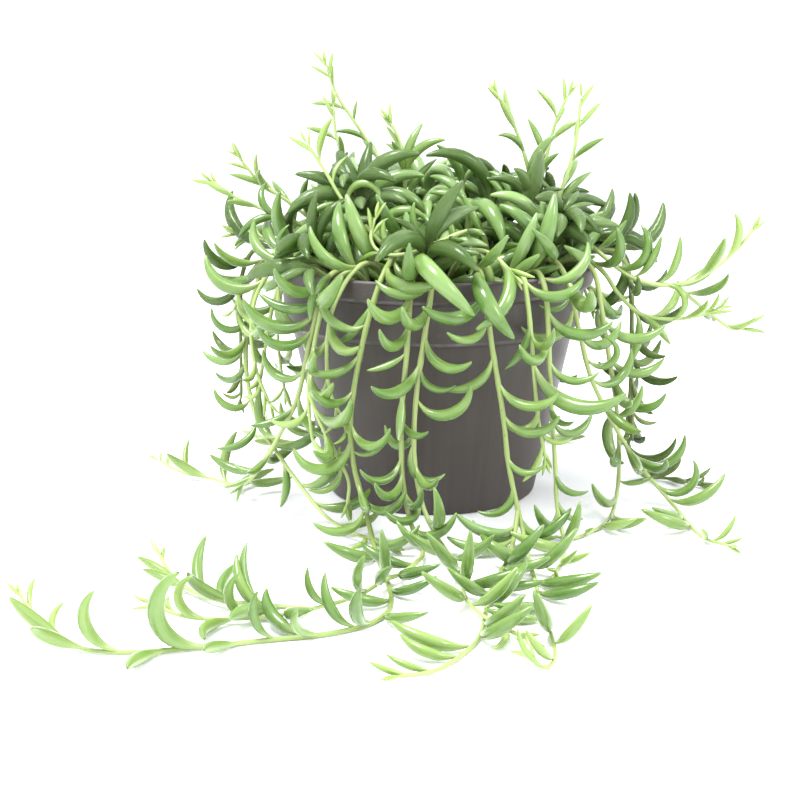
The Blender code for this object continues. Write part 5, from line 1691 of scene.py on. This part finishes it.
def make_pot():
    """One turned shell with a band, a lip and softly rounded corners."""
    ends = [(0.0, POT_WALL)] + pot_inner_profile()[::-1] + pot_outer_profile()[::-1] + [(0.0, 0.0)]
    pot = turned_piece("pot_moulded", rounded(ends, EDGE_ROUND), POT_STEPS)
    pot.data.materials.append(pot_finish())
    pot.data.shade_smooth()
    pot.data.set_sharp_from_angle(angle=math.radians(SHARP))
    ride_along(pot, "pot")


def make_soil():
    """The soil's uneven top with loose crumbs, over a plain body that fills the pot."""
    rng = random.Random(SEED + 5)
    inner = pot_inner_profile()
    (r_low, z_low), (r_high, z_high) = inner[3], inner[2]
    top_r = r_low + (r_high - r_low) * (SOIL_Z - z_low) / (z_high - z_low) - GAP
    rings = [(r, SOIL_Z) for r in np.linspace(0.0, top_r, SOIL_RINGS)]
    side = [(r - GAP, z + GAP) for r, z in inner[3:]]
    soil = turned_piece("soil_crumbly", rings + side + [(0.0, POT_WALL + GAP)], POT_STEPS)
    for v in soil.data.vertices:
        if abs(v.co.z / MM - SOIL_Z) < LEVEL:
            lumps = sum(noise.noise(v.co * LUMP_SCALE * fine) * high for fine, high in LUMPS)
            to_edge = min(1.0, (top_r - math.hypot(v.co.x, v.co.y) / MM) / LUMP_EDGE)
            v.co.z += (lumps * to_edge - SUNK) * MM
    bm = bmesh.new()
    bm.from_mesh(soil.data)
    for _ in range(CRUMBS):
        reach, bearing = (top_r - CRUMB_OFF) * math.sqrt(rng.random()), rng.uniform(0, math.tau)
        size = rng.uniform(*CRUMB_SIZES)
        crumb = bmesh.ops.create_icosphere(bm, subdivisions=1, radius=size * MM)
        spot = Vector((reach * math.cos(bearing), reach * math.sin(bearing), SOIL_Z + CRUMB_UP * size)) * MM
        for v in crumb["verts"]:
            v.co.z *= CRUMB_FLAT
            v.co *= 1 + CRUMB_UNEVEN * noise.noise(v.co * CRUMB_GRAIN + spot * CRUMB_SHIFT)
            v.co += spot
    bm.to_mesh(soil.data)
    bm.free()
    soil.data.materials.append(soil_finish())
    soil.data.shade_smooth()
    ride_along(soil, "soil")


def make_stage():
    """A white floor that runs on out of sight, a bright even surround and two soft lights."""
    bpy.ops.object.select_all(action="DESELECT")
    bpy.ops.mesh.primitive_plane_add(size=FLOOR_SIZE)
    floor = bpy.context.active_object
    floor.name = "studio_floor"
    floor.data.materials.append(floor_finish())
    world = bpy.data.worlds.new("studio")
    world.use_nodes = True
    surround = world.node_tree.nodes["Background"]
    surround.inputs["Color"].default_value = (0.975, 0.985, 1.0, 1.0)
    surround.inputs["Strength"].default_value = SURROUND
    bpy.context.scene.world = world
    aim = Vector((0, 0, SOIL_Z * MM))
    for name, place, size, power in LIGHTS:
        light = bpy.data.lights.new(name, "AREA")
        light.size = size
        light.energy = power
        lamp = added(name, light)
        lamp.location = place
        lamp.rotation_euler = (aim - Vector(place)).to_track_quat("-Z", "Y").to_euler()


def make_camera():
    """The photograph's viewing angle: a long lens a little above the rim, looking down slightly."""
    lens = bpy.data.cameras.new("camera")
    lens.sensor_width = 36.0
    lens.lens = CAMERA_LENS
    camera = added("camera", lens)
    camera.location = CAMERA_PLACE
    camera.rotation_euler = (math.radians(90 - CAMERA_DIP), 0.0, math.radians(CAMERA_TURN))
    bpy.context.scene.camera = camera


make_pot()
make_soil()
dress_plant()
make_stage()
make_camera()
bpy.context.scene.view_settings.view_transform = "Standard"
